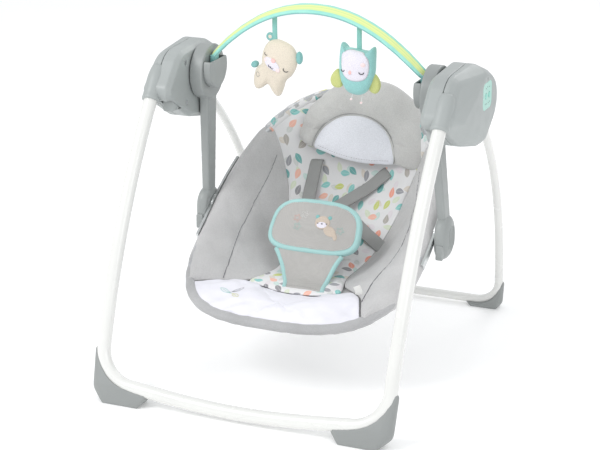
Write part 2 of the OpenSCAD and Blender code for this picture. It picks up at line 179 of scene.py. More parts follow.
def frames_along(path, closed, ref=None):
    """Two unit vectors across the path at each point, turning as little as they can, or set by ref."""
    points = [Vector(p) for p in path]
    n = len(points)
    tangents = []
    for i in range(n):
        a = points[(i - 1) % n] if closed or i > 0 else points[0]
        b = points[(i + 1) % n] if closed or i < n - 1 else points[-1]
        tangents.append((b - a).normalized())
    if ref is not None:
        sides = [Vector(ref).cross(t).normalized() for t in tangents]
        return [(side, t.cross(side)) for side, t in zip(sides, tangents)]
    side = tangents[0].orthogonal().normalized()
    out = []
    for t in tangents:
        side = (side - t * side.dot(t)).normalized()
        out.append((side, t.cross(side)))
    return out


def loft(name, loops, uv=None, closed=False):
    """A solid through a row of loops of the same length, with flat ends unless the row is closed."""
    m, n = len(loops[0]), len(loops)
    faces = [(i * m + j, i * m + (j + 1) % m, (i + 1) % n * m + (j + 1) % m, (i + 1) % n * m + j)
             for i in range(n if closed else n - 1) for j in range(m)]
    if not closed:
        faces += [tuple(range(m - 1, -1, -1)), tuple((n - 1) * m + j for j in range(m))]
    return outward(mesh_object(name, [p for loop in loops for p in loop], faces, uv))


def sweep(name, path, section, closed=False, ref=None, scale=None):
    """A solid: the section, a list of 2-D points, carried along the path."""
    loops, uv, run = [], [], 0.0
    for i, (side, up) in enumerate(frames_along(path, closed, ref)):
        if i:
            run += (Vector(path[i]) - Vector(path[i - 1])).length
        k = scale(i / (len(path) - 1)) if scale else 1.0
        loops.append([Vector(path[i]) + side * a * k + up * b * k for a, b in section])
        uv += [(run, b) for a, b in section]
    return loft(name, loops, uv, closed)


def ring_section(radius, sides):
    """The round section of a tube or cord."""
    return [(radius * math.cos(2 * math.pi * i / sides), radius * math.sin(2 * math.pi * i / sides))
            for i in range(sides)]


def powered(value, power):
    """A sine or cosine raised to a power with its sign kept, which squares an oval off."""
    return math.copysign(abs(value) ** power, value)


def oval(x, y, a, b, turn=0.0, count=28, power=1.0):
    """An oval about (x, y) with half sizes a and b, squared off by a power below 1."""
    out = []
    for t in np.linspace(0, 2 * math.pi, count, endpoint=False):
        along, across = a * powered(math.cos(t), power), b * powered(math.sin(t), power)
        out.append((x + along * math.cos(turn) - across * math.sin(turn),
                    y + along * math.sin(turn) + across * math.cos(turn)))
    return out


def strap_section(width, thick):
    """A flat band with rounded edges and a faint rib along each selvedge."""
    half, t = width / 2, thick / 2
    top = [(t * 0.5, half), (t * 1.15, half - t), (t * 0.95, half - 3 * t), (t, 0), (t * 0.95, 3 * t - half),
           (t * 1.15, t - half), (t * 0.5, -half)]
    return top + [(-a, b) for a, b in reversed(top)]


def curve(points, count, closed=False):
    """Points along a smooth curve through a few given ones."""
    pts = [np.array(p, dtype=float) for p in points]
    n = len(pts)
    spans = n if closed else n - 1
    out = []
    for i in range(spans):
        p0 = pts[(i - 1) % n] if closed or i > 0 else 2 * pts[0] - pts[1]
        p1, p2 = pts[i], pts[(i + 1) % n]
        p3 = pts[(i + 2) % n] if closed or i < n - 2 else 2 * pts[-1] - pts[-2]
        steps = max(2, count // spans)
        for k in range(steps):
            t = k / steps
            out.append(0.5 * (2 * p1 + (p2 - p0) * t + (2 * p0 - 5 * p1 + 4 * p2 - p3) * t * t
                              + (3 * p1 - p0 - 3 * p2 + p3) * t ** 3))
    if not closed:
        out.append(pts[-1])
    return out


def tree_of(obj):
    """A search tree over a piece's faces."""
    return BVHTree.FromPolygons([v.co for v in obj.data.vertices], [p.vertices for p in obj.data.polygons])


def laid_on(tree, points, lift=0.0):
    """The points moved onto a surface and raised off it."""
    found = [tree.find_nearest(Vector(p)) for p in points]
    return [near + normal * lift for near, normal, _, _ in found]


def stitches(name, path, material, body, length=0.0032, gap=0.0018, radius=0.00035, slot=None):
    """A row of thread stitches, each a short rod whose ends dip into the cloth."""
    pts = [Vector(p) for p in path]
    spans = [(b - a).length for a, b in zip(pts, pts[1:])]
    total = sum(spans)

    def at(d):
        for a, b, span in zip(pts, pts[1:], spans):
            if d <= span:
                return a.lerp(b, d / span)
            d -= span
        return pts[-1]
    rods = []
    for k in range(int(total / (length + gap))):
        a, b = at(k * (length + gap)), at(k * (length + gap) + length)
        if (b - a).length > length * 0.3:
            rods.append(sweep("rod", [a, a.lerp(b, 0.25), a.lerp(b, 0.75), b], ring_section(radius, 6),
                              scale=lambda t: 1.0 if 0.2 < t < 0.8 else 0.45))
    return finish_piece(join(name, rods), body, material, slot)


# ---- materials ----

def rgb(r, g, b):
    """A screen colour from 0 to 255 as the linear colour that a shader takes."""
    return tuple((c / 255 / 12.92) if c <= 10 else ((c / 255 + 0.055) / 1.055) ** 2.4 for c in (r, g, b))


def material(name, colour, rough, **direct):
    m = bpy.data.materials.new(name)
    m.use_nodes = True
    shader = m.node_tree.nodes["Principled BSDF"]
    shader.inputs["Base Color"].default_value = (*colour, 1)
    shader.inputs["Roughness"].default_value = rough
    for key, value in direct.items():
        shader.inputs[key.replace("_", " ")].default_value = value
    return m


def add(m, kind, inputs=None, **props):
    node = m.node_tree.nodes.new("ShaderNode" + kind)
    for key, value in props.items():
        setattr(node, key, value)
    for key, value in (inputs or {}).items():
        if isinstance(value, bpy.types.NodeSocket):
            m.node_tree.links.new(value, node.inputs[key])
        else:
            node.inputs[key].default_value = value
    return node


def place(m, uv=False):
    node = add(m, "TexCoord")
    return node.outputs["UV" if uv else "Object"]


def grain(m, where, scale, detail=3.0):
    return add(m, "TexNoise", {"Vector": where, "Scale": scale, "Detail": detail}).outputs["Fac"]


def spread(m, value, low, high, from_low=0.3, from_high=0.7):
    return add(m, "MapRange", {"Value": value, "From Min": from_low, "From Max": from_high,
                               "To Min": low, "To Max": high}).outputs["Result"]


def blend_colours(m, factor, a, b, mode="MIX"):
    node = add(m, "Mix", data_type="RGBA", blend_type=mode)
    for index, value in ((0, factor), (6, a), (7, b)):
        if isinstance(value, bpy.types.NodeSocket):
            m.node_tree.links.new(value, node.inputs[index])
        else:
            node.inputs[index].default_value = (*value, 1) if index else value
    return node.outputs[2]


def maths(m, op, a, b=0.0, c=0.0):
    return add(m, "Math", {0: a, 1: b, 2: c}, operation=op).outputs[0]


def dressed(m, colour, layers, rough=None):
    """Feeds a material its colour, its bump layers as (height, strength, distance), and its roughness."""
    normal = None
    for height, strength, distance in layers:
        inputs = {"Height": height, "Strength": strength, "Distance": distance}
        if normal is not None:
            inputs["Normal"] = normal
        normal = add(m, "Bump", inputs).outputs["Normal"]
    for key, socket in (("Base Color", colour), ("Roughness", rough), ("Normal", normal)):
        if socket is not None:
            m.node_tree.links.new(socket, m.node_tree.nodes["Principled BSDF"].inputs[key])
    return m


def shades(colour, amount):
    return tuple(c * (1 - amount) for c in colour), tuple(min(1.0, c * (1 + amount)) for c in colour)


def tinted(m, where, scale, colour, amount, detail=3.0):
    """A slow drift between a darker and a lighter shade of the colour."""
    return blend_colours(m, spread(m, grain(m, where, scale, detail), 0, 1), *shades(colour, amount))


def dimmed(m, colour, value):
    """The colour times a grey value."""
    grey = add(m, "CombineColor", {0: value, 1: value, 2: value}).outputs[0]
    return blend_colours(m, 1.0, colour, grey, "MULTIPLY")


def plastic(name, colour, rough=0.42):
    """Moulded plastic with a fine spark-eroded grain, soft tone drift and rubbed edges."""
    m = material(name, colour, rough)
    where = place(m)
    edge = spread(m, add(m, "NewGeometry").outputs["Pointiness"], 0, 0.35, 0.53, 0.62)
    worn = blend_colours(m, edge, tinted(m, where, 9, colour, 0.045), shades(colour, 0.3)[1])
    layers = [(grain(m, where, 1500, 2), 0.14, 0.0003), (grain(m, where, 22, 1), 0.05, 0.0015)]
    return dressed(m, worn, layers, spread(m, grain(m, where, 40), rough - 0.06, rough + 0.07))


def paint(name, colour):
    """Glossy powder coat with a faint orange peel and dust-dulled patches."""
    m = material(name, colour, 0.2, Coat_Weight=0.5, Coat_Roughness=0.12)
    where = place(m)
    return dressed(m, tinted(m, where, 14, colour, 0.02), [(grain(m, where, 320, 1), 0.06, 0.0004)],
                   spread(m, grain(m, where, 30), 0.16, 0.3))


def metal(name, colour, rough=0.3):
    """Brushed metal, with its scratches along the part."""
    m = material(name, colour, rough, Metallic=1.0)
    where = add(m, "Mapping", {"Vector": place(m), "Scale": (40, 900, 900)}).outputs["Vector"]
    brushed = grain(m, where, 3, 2)
    return dressed(m, tinted(m, place(m), 60, colour, 0.06), [(brushed, 0.08, 0.0002)],
                   spread(m, brushed, rough - 0.08, rough + 0.12))


def plush(name, colour, nap=0.5, drift=0.07):
    """Short-pile velour: tiny fibres, soft nap, and patches of painted sheen and shade where the pile lies
    another way.
    """
    m = material(name, colour, 0.95, Sheen_Weight=0.35, Sheen_Roughness=0.45)
    where = place(m)
    fibre = spread(m, grain(m, where, 900, 4), 0.86, 1.1)
    layers = [(grain(m, where, 1300, 3), nap, 0.0006), (grain(m, where, 210, 3), nap * 0.6, 0.0012),
              (grain(m, where, 38, 2), 0.12, 0.004)]
    # The slow drift between darker and lighter shades is painted sheen and shade of the brushed pile.
    return dressed(m, dimmed(m, tinted(m, where, 16, colour, drift, 4), fibre), layers)


def weave_height(m, where, pitch):
    """The over-and-under of a plain weave whose threads are one pitch apart."""
    parts = add(m, "SeparateXYZ", {0: where})
    rate = math.pi / pitch
    across = maths(m, "SINE", maths(m, "MULTIPLY", parts.outputs[0], rate))
    along = maths(m, "SINE", maths(m, "MULTIPLY", parts.outputs[1], rate))
    return maths(m, "MULTIPLY_ADD", maths(m, "MULTIPLY", across, along), 0.5, 0.5)


def woven(name, colour, pitch=0.0005, contrast=0.1):
    """Plain-woven cloth or thread, with painted shade darkening the low places between its threads."""
    m = material(name, colour, 0.85, Sheen_Weight=0.15, Sheen_Roughness=0.4)
    thread = weave_height(m, place(m, uv=True), pitch)
    drifted = tinted(m, place(m), 18, colour, 0.05)
    # The colour is darkened where the weave sinks between threads: painted shade.
    return dressed(m, dimmed(m, drifted, spread(m, thread, 1 - contrast, 1.0, 0, 1)),
                   [(thread, 0.35, 0.0003), (grain(m, place(m), 60, 3), 0.15, 0.002)])


def satin(name, colour):
    """White satin cloth: smooth, slightly glossy, with soft pulled creases."""
    m = material(name, colour, 0.5, Sheen_Weight=0.25, Sheen_Roughness=0.3)
    where = place(m)
    drawn = add(m, "Mapping", {"Vector": where, "Scale": (9, 30, 30), "Rotation": (0, 0, 0.5)})
    creases = grain(m, drawn.outputs["Vector"], 1.6, 3)
    return dressed(m, tinted(m, where, 25, colour, 0.02),
                   [(grain(m, where, 1100, 2), 0.14, 0.0003), (creases, 0.28, 0.006)],
                   spread(m, grain(m, where, 45), 0.45, 0.62))


def mesh_cloth(name, colour):
    """Spacer mesh: rows of small eyelets in a knitted face, darkened with painted shade."""
    m = material(name, colour, 0.85, Sheen_Weight=0.15, Sheen_Roughness=0.4)
    where = place(m)
    holes = add(m, "TexVoronoi", {"Vector": where, "Scale": 720.0, "Randomness": 0.25}).outputs["Distance"]
    # The eyelets' darkness is painted shade inside the holes.
    eyelet_shade = spread(m, holes, 0.72, 1.0, 0.12, 0.4)
    return dressed(m, dimmed(m, tinted(m, where, 18, colour, 0.05), eyelet_shade), [(holes, 0.35, 0.0005)])


def leaf_layer(m, where, scale, half_length, half_width, ramp_colours, shift):
    """One scattered layer of leaves: (mask, colour)."""
    moved = add(m, "Mapping", {"Vector": where, "Location": (shift, shift * 1.7, 0)}).outputs["Vector"]
    cells = add(m, "TexVoronoi", {"Vector": moved, "Scale": scale, "Randomness": 0.5},
                voronoi_dimensions="2D")
    local = add(m, "VectorMath", {0: moved, 1: cells.outputs["Position"]}, operation="SUBTRACT").outputs[0]
    pick = add(m, "SeparateColor", {0: cells.outputs["Color"]})
    turned = add(m, "VectorRotate", {"Vector": local, "Angle": maths(m, "MULTIPLY", pick.outputs[0], 6.283)},
                 rotation_type="Z_AXIS").outputs[0]
    axes = add(m, "SeparateXYZ", {0: turned})
    along = maths(m, "DIVIDE", axes.outputs[0], half_length)
    belly = maths(m, "SUBTRACT", 1.0, maths(m, "POWER", maths(m, "ABSOLUTE", along), 2.2))
    lean = maths(m, "MULTIPLY_ADD", along, -0.3, 1.0)
    width = maths(m, "MULTIPLY", maths(m, "MULTIPLY", belly, lean), half_width)
    inside = maths(m, "SUBTRACT", width, maths(m, "ABSOLUTE", axes.outputs[1]))
    mask = spread(m, inside, 0, 1, 0.0, 0.0004)
    rib = spread(m, maths(m, "ABSOLUTE", axes.outputs[1]), 0.35, 0.0, 0.0002, 0.0005)
    ramp = add(m, "ValToRGB", {"Fac": pick.outputs[1]})
    ramp.color_ramp.interpolation = "CONSTANT"
    stops = ramp.color_ramp.elements
    for i, colour in enumerate(ramp_colours):
        stop = stops[i] if i < 2 else stops.new(i / len(ramp_colours))
        stop.position = i / len(ramp_colours)
        stop.color = (*colour, 1)
    return mask, blend_colours(m, rib, ramp.outputs["Color"], (0.9, 0.9, 0.88))


def leaf_print(name):
    """Cotton with scattered leaves in two layers, pale ones behind bold ones."""
    base = rgb(232, 231, 232)
    m = material(name, base, 0.82, Sheen_Weight=0.15, Sheen_Roughness=0.4)
    where = place(m, uv=True)
    pale = [rgb(214, 216, 214), rgb(222, 214, 204), rgb(205, 224, 219), rgb(228, 222, 226),
            rgb(219, 226, 205)]
    bold = [rgb(242, 166, 146), rgb(160, 160, 166), rgb(146, 206, 202), rgb(206, 213, 130),
            rgb(184, 178, 172), rgb(118, 178, 176), rgb(244, 190, 172), rgb(152, 151, 155)]
    pale_mask, pale_colour = leaf_layer(m, where, 40.0, 0.0092, 0.0048, pale, 0.31)
    bold_mask, bold_colour = leaf_layer(m, where, 38.0, 0.0098, 0.0052, bold, 0.0)
    ground = blend_colours(m, pale_mask, base, pale_colour)
    printed = blend_colours(m, bold_mask, ground, bold_colour)
    thread = weave_height(m, where, 0.0007)
    # The print is darkened where the weave sinks between threads: painted shade.
    return dressed(m, dimmed(m, printed, spread(m, thread, 0.93, 1.0, 0, 1)),
                   [(thread, 0.3, 0.0002), (grain(m, place(m), 45, 3), 0.22, 0.003)])


def striped_band(name):
    """The toy bar's cover: aqua edges, a yellow-green middle and fine woven lines."""
    m = material(name, rgb(150, 226, 206), 0.75, Sheen_Weight=0.2, Sheen_Roughness=0.4)
    where = place(m, uv=True)
    across = maths(m, "ABSOLUTE", maths(m, "ADD", add(m, "SeparateXYZ", {0: where}).outputs[1], 0.0022))
    middle = spread(m, across, 1, 0, 0.0048, 0.0062)
    lines = maths(m, "SINE", maths(m, "MULTIPLY", across, 2300))
    lime = blend_colours(m, spread(m, lines, 0, 1, -0.4, 0.4), rgb(208, 232, 156), rgb(228, 236, 160))
    mint = blend_colours(m, spread(m, grain(m, place(m), 30), 0, 1), rgb(146, 216, 202), rgb(166, 226, 212))
    return dressed(m, blend_colours(m, middle, mint, lime),
                   [(weave_height(m, where, 0.0008), 0.3, 0.0003), (grain(m, place(m), 70, 3), 0.2, 0.002)])


def floor_paint():
    m = material("floor", (0.93, 0.93, 0.93), 0.6, Emission_Color=(1, 1, 1, 1), Emission_Strength=0.15)
    cloudy = spread(m, grain(m, place(m), 2), 0, 1)
    tone = blend_colours(m, cloudy, (0.92, 0.92, 0.92), (0.94, 0.94, 0.94))
    return dressed(m, tone, [])


GREY_SHELL = plastic("shell_grey_plastic", rgb(164, 169, 168))
GREY_ARM = plastic("arm_grey_plastic", rgb(150, 154, 153))
GREY_FOOT = plastic("foot_grey_plastic", rgb(146, 149, 148), 0.5)
DARK = plastic("dark_plastic", rgb(70, 73, 75), 0.5)
BLACK = plastic("black_plastic", rgb(40, 41, 43), 0.45)
WHITE_PLASTIC = plastic("white_plastic", rgb(226, 226, 220), 0.45)
AQUA_PLASTIC = plastic("aqua_plastic", rgb(126, 205, 190), 0.35)
PANEL_AQUA = plastic("panel_aqua", rgb(160, 208, 196), 0.3)
BOARD_GREEN = plastic("board_green", rgb(40, 92, 62), 0.4)
WHITE_TUBE = paint("tube_white_paint", rgb(228, 228, 225))
STEEL = metal("steel", rgb(200, 202, 205))
COPPER = metal("copper", rgb(190, 120, 80), 0.35)
CELL = metal("cell_metal", rgb(90, 95, 104), 0.4)
BRACKET_METAL = metal("bracket_metal", rgb(214, 216, 216), 0.36)
GREY_PLUSH = plush("grey_plush", rgb(196, 195, 195))
PILLOW_PLUSH = plush("pillow_plush", rgb(200, 199, 197))
INSERT_PLUSH = plush("insert_plush", rgb(232, 233, 240), 0.3, 0.02)
RIM_PLUSH = plush("rim_plush", rgb(176, 176, 177), 0.35)
SLING_CLOTH = plush("sling_cloth", rgb(184, 184, 184), 0.3)
WHITE_SATIN = satin("white_satin", rgb(236, 235, 243))
PRINT = leaf_print("leaf_print")
PAD_MESH = mesh_cloth("pad_mesh", rgb(179, 177, 174))
STRAP_CLOTH = woven("strap_cloth", rgb(164, 164, 163), 0.0011, contrast=0.2)
AQUA_CLOTH = woven("aqua_cloth", rgb(170, 211, 209), 0.0008)
TEAL_CLOTH = woven("teal_cloth", rgb(132, 186, 184), 0.0008)
TAG_CLOTH = woven("tag_cloth", rgb(240, 240, 236))
BAND = striped_band("striped_band")
BEIGE_PLUSH = plush("beige_plush", rgb(222, 212, 196))
AQUA_PLUSH = plush("aqua_plush", rgb(148, 201, 198))
LIME_PLUSH = plush("lime_plush", rgb(194, 200, 130))
WHITE_PLUSH = plush("white_plush", rgb(230, 226, 236))
PINK_CLOTH = plush("pink_cloth", rgb(244, 196, 192), 0.3)
BLUSH = plush("blush_cloth", rgb(244, 222, 222), 0.3)
RIBBON = woven("ribbon", rgb(138, 196, 188), 0.0008)
TAN_FELT = plush("tan_felt", rgb(200, 186, 172), 0.3)
WHITE_THREAD = woven("white_thread", rgb(226, 226, 224))
CORAL_THREAD = woven("coral_thread", rgb(226, 176, 164))
MINT_THREAD = woven("mint_thread", rgb(164, 206, 198))
THREAD_DARK = woven("thread_dark", rgb(66, 66, 72))
THREAD_GREY = woven("thread_grey", rgb(158, 158, 157))
PIPING_GREY = woven("piping_grey", rgb(120, 121, 126), 0.0006)
PIPING_WHITE = woven("piping_white", rgb(232, 232, 230), 0.0006)


# ---- the seat's surface, in x across and s along from its front edge ----

HALF, FRONT, BACK = 0.215, 0.260, 0.307
LENGTH = FRONT + BACK
MID_Y, MID_Z, TILT, BEND, BUCKET = 0.025, 0.249, math.radians(34.4), 0.825, 0.100


def end_of(s):
    """The roundness and the reach of the seat's outline, in front of and behind its widest place."""
    return (3.0, FRONT) if s < FRONT else (2.3, BACK)


def half_width(s, gap=0.0):
    power, reach = end_of(s)
    return (HALF - gap) * max(0.0, 1 - (abs(s - FRONT) / (reach - gap)) ** power) ** (1 / power)


def seat_depth(x, s):
    """How far the cloth hangs below the flat plane of the ring."""
    power, reach = end_of(s)
    rho = min(1.0, (abs(x) / HALF) ** power + (abs(s - FRONT) / reach) ** power) ** (1 / power)
    v = min(1.0, abs(x) / max(half_width(s), 1e-6))
    along = min(1.0, abs(s - 0.33) / (0.3 if s < 0.33 else 0.33))
    return BUCKET * math.cos(math.pi / 2 * along) ** 2 * (1 - v ** 2.5) * (1 - rho ** 8)


def seat_at(x, s, lift=0.0):
    angle = TILT + (s - LENGTH / 2) / BEND
    deep = seat_depth(x, s) - lift
    return Vector((x, MID_Y + BEND * (math.sin(angle) - math.sin(TILT)) + math.sin(angle) * deep,
                   MID_Z + BEND * (math.cos(TILT) - math.cos(angle)) - math.cos(angle) * deep))


def seat_of(point):
    """The (x, s, lift) of a point near the seat."""
    y = point[1] - MID_Y + BEND * math.sin(TILT)
    z = point[2] - MID_Z - BEND * math.cos(TILT)
    s = (math.atan2(y, -z) - TILT) * BEND + LENGTH / 2
    return point[0], s, seat_depth(point[0], s) - (math.hypot(y, z) - BEND)


def seat_outline(gap, count=120):
    out = []
    for i in range(count):
        c, s = math.cos(2 * math.pi * i / count), math.sin(2 * math.pi * i / count)
        power, reach = (3.0, FRONT) if s < 0 else (2.3, BACK)
        out.append(((HALF - gap) * powered(c, 2 / power), FRONT + (reach - gap) * powered(s, 2 / power)))
    return out


# ---- cushions ----

def outward(obj):
    """Turns every face of a closed surface outwards."""
    bm = bmesh.new()
    bm.from_mesh(obj.data)
    bmesh.ops.recalc_face_normals(bm, faces=bm.faces)
    bm.to_mesh(obj.data)
    bm.free()
    obj.data.update()
    return obj


def dome(name, outline, heights, where, rings=16, middle=None):
    """A filled shape whose outline shrinks ring by ring to its middle, on its face and its back."""
    outline = np.array(outline, dtype=float)
    middle = outline.mean(axis=0) if middle is None else np.array(middle)
    n = len(outline)
    rows = [1 - (k / rings) ** 1.25 for k in range(rings)]
    verts = [where(*q, sum(heights(*q, 1.0)) / 2) for q in outline]
    for side in (0, 1):
        for rho in rows[1:]:
            spots = [middle + (q - middle) * rho for q in outline]
            verts += [where(*q, heights(*q, rho)[side]) for q in spots]
        verts.append(where(*middle, heights(*middle, 0.0)[side]))
    faces = []
    layer = (rings - 1) * n + 1
    for side in (0, 1):
        base = n + side * layer
        starts = [0] + [base + k * n for k in range(rings - 1)]
        for j in range(n):
            k = (j + 1) % n
            ring = [(a + j, a + k, b + k, b + j) for a, b in zip(starts, starts[1:])]
            ring.append((starts[-1] + j, starts[-1] + k, base + layer - 1))
            faces += ring if side == 0 else [f[::-1] for f in ring]
    return outward(mesh_object(name, verts, faces))


def swell(rho, power):
    """A dome's height: 1 in its middle, falling to 0 at its edge, more squarely for a higher power."""
    return max(0.0, 1 - rho ** power) ** 0.5


def crowned(thick, power):
    """Heights of a cushion that is fullest in the middle and rounds off at its edge."""
    def heights(x, y, rho):
        edge, rise = 0.0004 + thick * 0.3, swell(rho, power)
        return edge + thick * 0.7 * rise, edge - thick * 0.3 * rise
    return heights


def puff(obj, cap, sewn, pressure, slack):
    """Blows up a cushion's cover over its filling by cloth simulation, held where it is sewn down."""
    rest = coords(obj)
    kept = [bool(sewn and sewn(p)) for p in rest]
    cloth = obj.modifiers.new("cloth", "CLOTH")
    settings = cloth.settings
    settings.quality = 4
    settings.mass = 0.2
    settings.tension_stiffness = settings.compression_stiffness = 12
    settings.shear_stiffness = 4
    settings.bending_stiffness = 0.3
    settings.shrink_min = -slack
    settings.use_pressure = True
    settings.uniform_pressure_force = pressure
    settings.effector_weights.gravity = 0
    if sewn:
        group = obj.vertex_groups.new(name="sewn")
        group.add([i for i, held in enumerate(kept) if held], 1.0, "REPLACE")
        settings.vertex_group_mass = "sewn"
    cloth.point_cache.frame_start, cloth.point_cache.frame_end = 1, 20
    for step in range(1, 21):
        bpy.context.scene.frame_set(step)
    bake(obj)
    bpy.context.scene.frame_set(1)
    moved = coords(obj) - rest
    size = np.maximum(np.linalg.norm(moved, axis=1, keepdims=True), 1e-9)
    set_coords(obj, rest + moved * np.minimum(1, cap / size))
    calm = obj.modifiers.new("calm", "SMOOTH")
    calm.factor, calm.iterations = 0.5, 3
    bake(obj)
    if sewn:
        set_coords(obj, np.where(np.array(kept)[:, None], rest, coords(obj)))
    return subdivide(obj)


def crease(obj, path, depth, width, pucker=0.35, pitch=0.011):
    """Draws a cushion's surface in along a seam, with small puckers beside it."""
    points = [Vector(p) for p in path]
    dense, run = [], 0.0
    for a, b in zip(points, points[1:]):
        steps = max(1, int((b - a).length / 0.002))
        dense += [(a.lerp(b, k / steps), run + (b - a).length * k / steps) for k in range(steps)]
        run += (b - a).length
    tree = kdtree.KDTree(len(dense))
    for i, (p, _) in enumerate(dense):
        tree.insert(p, i)
    tree.balance()
    at, out = coords(obj), coords(obj, "normal")
    for i, p in enumerate(at):
        _, k, gap = tree.find(p)
        if gap < 3.2 * width:
            wave = 1 + pucker * math.sin(2 * math.pi * dense[k][1] / pitch + 2 * math.sin(dense[k][1] * 190))
            at[i] = p - out[i] * depth * wave * math.exp(-(gap / width) ** 2)
    set_coords(obj, at)
    return obj


def folds(obj, size, pitch, seed, limit=None):
    """Soft uneven folds in a cover, as a sum of a few waves in turned directions."""
    dice = random.Random(seed)
    waves = [(Vector((dice.gauss(0, 1), dice.gauss(0, 1), dice.gauss(0, 1))).normalized(),
              2 * math.pi / (pitch * dice.uniform(0.7, 1.8)), dice.uniform(0, 6.28)) for _ in range(9)]
    at, out = coords(obj), coords(obj, "normal")
    total = np.zeros(len(at))
    for direction, rate, phase in waves:
        bend = np.sin(at @ np.array(direction.orthogonal()) * rate * 0.31 + phase) * 1.6
        total += np.sin(at @ np.array(direction) * rate + phase + bend)
    amount = size * total / 4
    if limit is not None:
        amount = amount * np.array([limit(p) for p in at])
    set_coords(obj, at + out * amount[:, None])
    return obj


def flat_uv(obj, across_along):
    """Gives each corner the place on the flat cloth that lies over it."""
    spots = [across_along(v.co) for v in obj.data.vertices]
    layer = obj.data.uv_layers.get("cloth") or obj.data.uv_layers.new(name="cloth")
    for loop in obj.data.loops:
        layer.data[loop.index].uv = spots[loop.vertex_index]
    return obj


def cushion(obj, flat, cover, slot, node):
    """The last steps for a cushion of the seat: its flat cloth, its cover and its ties."""
    flat_uv(obj, flat)
    finish_piece(obj, "seat", cover, slot, node)


def on_cloth(p):
    """The place (x, s) on the seat's flat cloth under a point."""
    return seat_of(p)[:2]


def sewn_to_seat(p):
    return seat_of(p)[2] < 0.0044


def free_of_seat(height):
    """A share that grows from 0 on the seat's cloth to 1 at a height above it."""
    return lambda p: min(1.0, max(0.0, seat_of(p)[2] / height))


def piping(name, path, radius, body, cover, slot, closed=False):
    return finish_piece(sweep(name, path, ring_section(radius, 10), closed), body, cover, slot)


# ---- seat cloth ----

# The seam between the print and each side bolster, as (s, x): from the front rim, in, and back out to the rim
BACK_SEAM = [(0.205, 0.066), (0.247, 0.076), (0.308, 0.092), (0.363, 0.107), (0.396, 0.117), (0.425, 0.129),
             (0.453, 0.142), (0.478, 0.160)]
SEAMS = {-1: curve([(0.086, 0.190), (0.097, 0.168), (0.112, 0.140), (0.136, 0.094), (0.164, 0.074)]
                   + BACK_SEAM, 240),
         1: curve([(0.049, 0.158), (0.075, 0.147), (0.100, 0.138), (0.125, 0.126), (0.146, 0.104),
                   (0.168, 0.077)] + BACK_SEAM, 240)}


def seam_x(s, side=-1):
    return float(np.interp(s, [p[0] for p in SEAMS[side]], [p[1] for p in SEAMS[side]]))


# The seam along a bolster's crest, as (s, x)
BOLSTER_CREST = curve([(0.112, 0.120), (0.154, 0.131), (0.217, 0.146), (0.271, 0.151), (0.320, 0.149),
                       (0.355, 0.144), (0.390, 0.136), (0.422, 0.129)], 60)

# Where the white panel meets the print, as s over x
PANEL_TOP = curve([(-0.190, 0.085), (-0.168, 0.096), (-0.140, 0.113), (-0.096, 0.131), (-0.055, 0.121),
                   (-0.020, 0.112), (0.020, 0.111), (0.050, 0.116), (0.085, 0.134), (0.114, 0.144)], 120)


def panel_top(x):
    return float(np.interp(x, [p[0] for p in PANEL_TOP], [p[1] for p in PANEL_TOP]))


def build_sling():
    sling = dome("sling", seat_outline(0.006), lambda x, s, rho: (-0.0012, -0.0034), seat_at, 30)
    flat_uv(sling, on_cloth)
    finish_piece(sling, "seat", SLING_CLOTH, "cloth_grey", "seat_shell")
    ring = seat_outline(0.008, 240)
    roll = sweep("sling_rim", [seat_at(x, s, -0.0005) for x, s in ring], ring_section(0.0092, 18), True)
    folds(roll, 0.0006, 0.02, 3)
    flat_uv(roll, on_cloth)
    finish_piece(roll, "seat", RIM_PLUSH, "cloth_grey")
    top = [seat_at(x, s, -0.0003) for x, s in ring if s > 0.462]
    cover = sweep("head_rim", top, ring_section(0.0100, 18))
    folds(cover, 0.0007, 0.022, 9)
    flat_uv(cover, on_cloth)
    finish_piece(cover, "seat", PRINT, "cloth_print")
    for side, word in SIDES:
        for share, name in ((0.34, "inner"), (0.72, "outer")):
            line = [seat_at(side * share * half_width(s), s, -0.0036) for s in np.linspace(0.02, 0.54, 60)]
            piping(f"sling_gore_{name}_{word}", line, 0.0009, "seat", PIPING_GREY, "cloth_grey")


def bolster_row(side, s, rise, wrap):
    """One section of a bolster: up from the print, over its crest, round the ring and back below it."""
    inner = seam_x(s, side) + 0.001
    outer = max(half_width(s) + 0.003 - 0.014 * (1 - wrap), inner + 0.006)
    under = max(inner + 0.002, outer - 0.021)
    loop = [(inner, 0.0035)]
    for u in np.linspace(0.06, 1.0, 18):
        hump = rise * math.sin(math.pi * min(1, u ** 1.75)) ** 0.62
        loop.append((inner + (outer - inner) * u, 0.0035 * (1 - u) + hump))
    loop += [(outer + 0.0022 * wrap, -0.0045 * wrap), (outer + 0.0010 * wrap, -0.0098 * wrap),
             (outer - 0.0050 * wrap, -0.0128 * wrap), (outer - 0.0130 * wrap, -0.0124 * wrap),
             (under, -0.0070 * wrap), (max(inner + 0.001, under - 0.003), 0.0004),
             ((inner + under) / 2, 0.0004), (inner, 0.0004)]
    return [seat_at(side * x, s, lift) for x, lift in loop]


def build_bolster(side, word):
    first, last = SEAMS[side][0][0] + 0.003, 0.478
    loops = []
    for t in np.linspace(0, 1, 66):
        rise = 0.0245 * max(0.0, math.sin(math.pi * min(1.0, t * 1.02) ** 0.85)) ** 0.42
        wrap = min(1.0, t / 0.16, (1 - t) / 0.05) ** 0.7
        loops.append(bolster_row(side, first + (last - first) * t, max(rise, 0.006), wrap))
    obj = loft(f"side_bolster_{word}_cushion", loops)
    puff(obj, 0.007, sewn_to_seat, 4.5, 0.05)
    seam = laid_on(tree_of(obj), [seat_at(side * x, s, 0.030) for s, x in BOLSTER_CREST])
    crease(obj, seam, 0.0018, 0.0030)
    folds(obj, 0.0010, 0.05, 11 + side, free_of_seat(0.010))
    cushion(obj, on_cloth, GREY_PLUSH, "cloth_grey", f"side_bolster_{word}")
    line = laid_on(tree_of(obj), seam, -0.0001)
    piping(f"side_bolster_{word}_seam", line, 0.0006, "seat", PIPING_GREY, "cloth_grey")


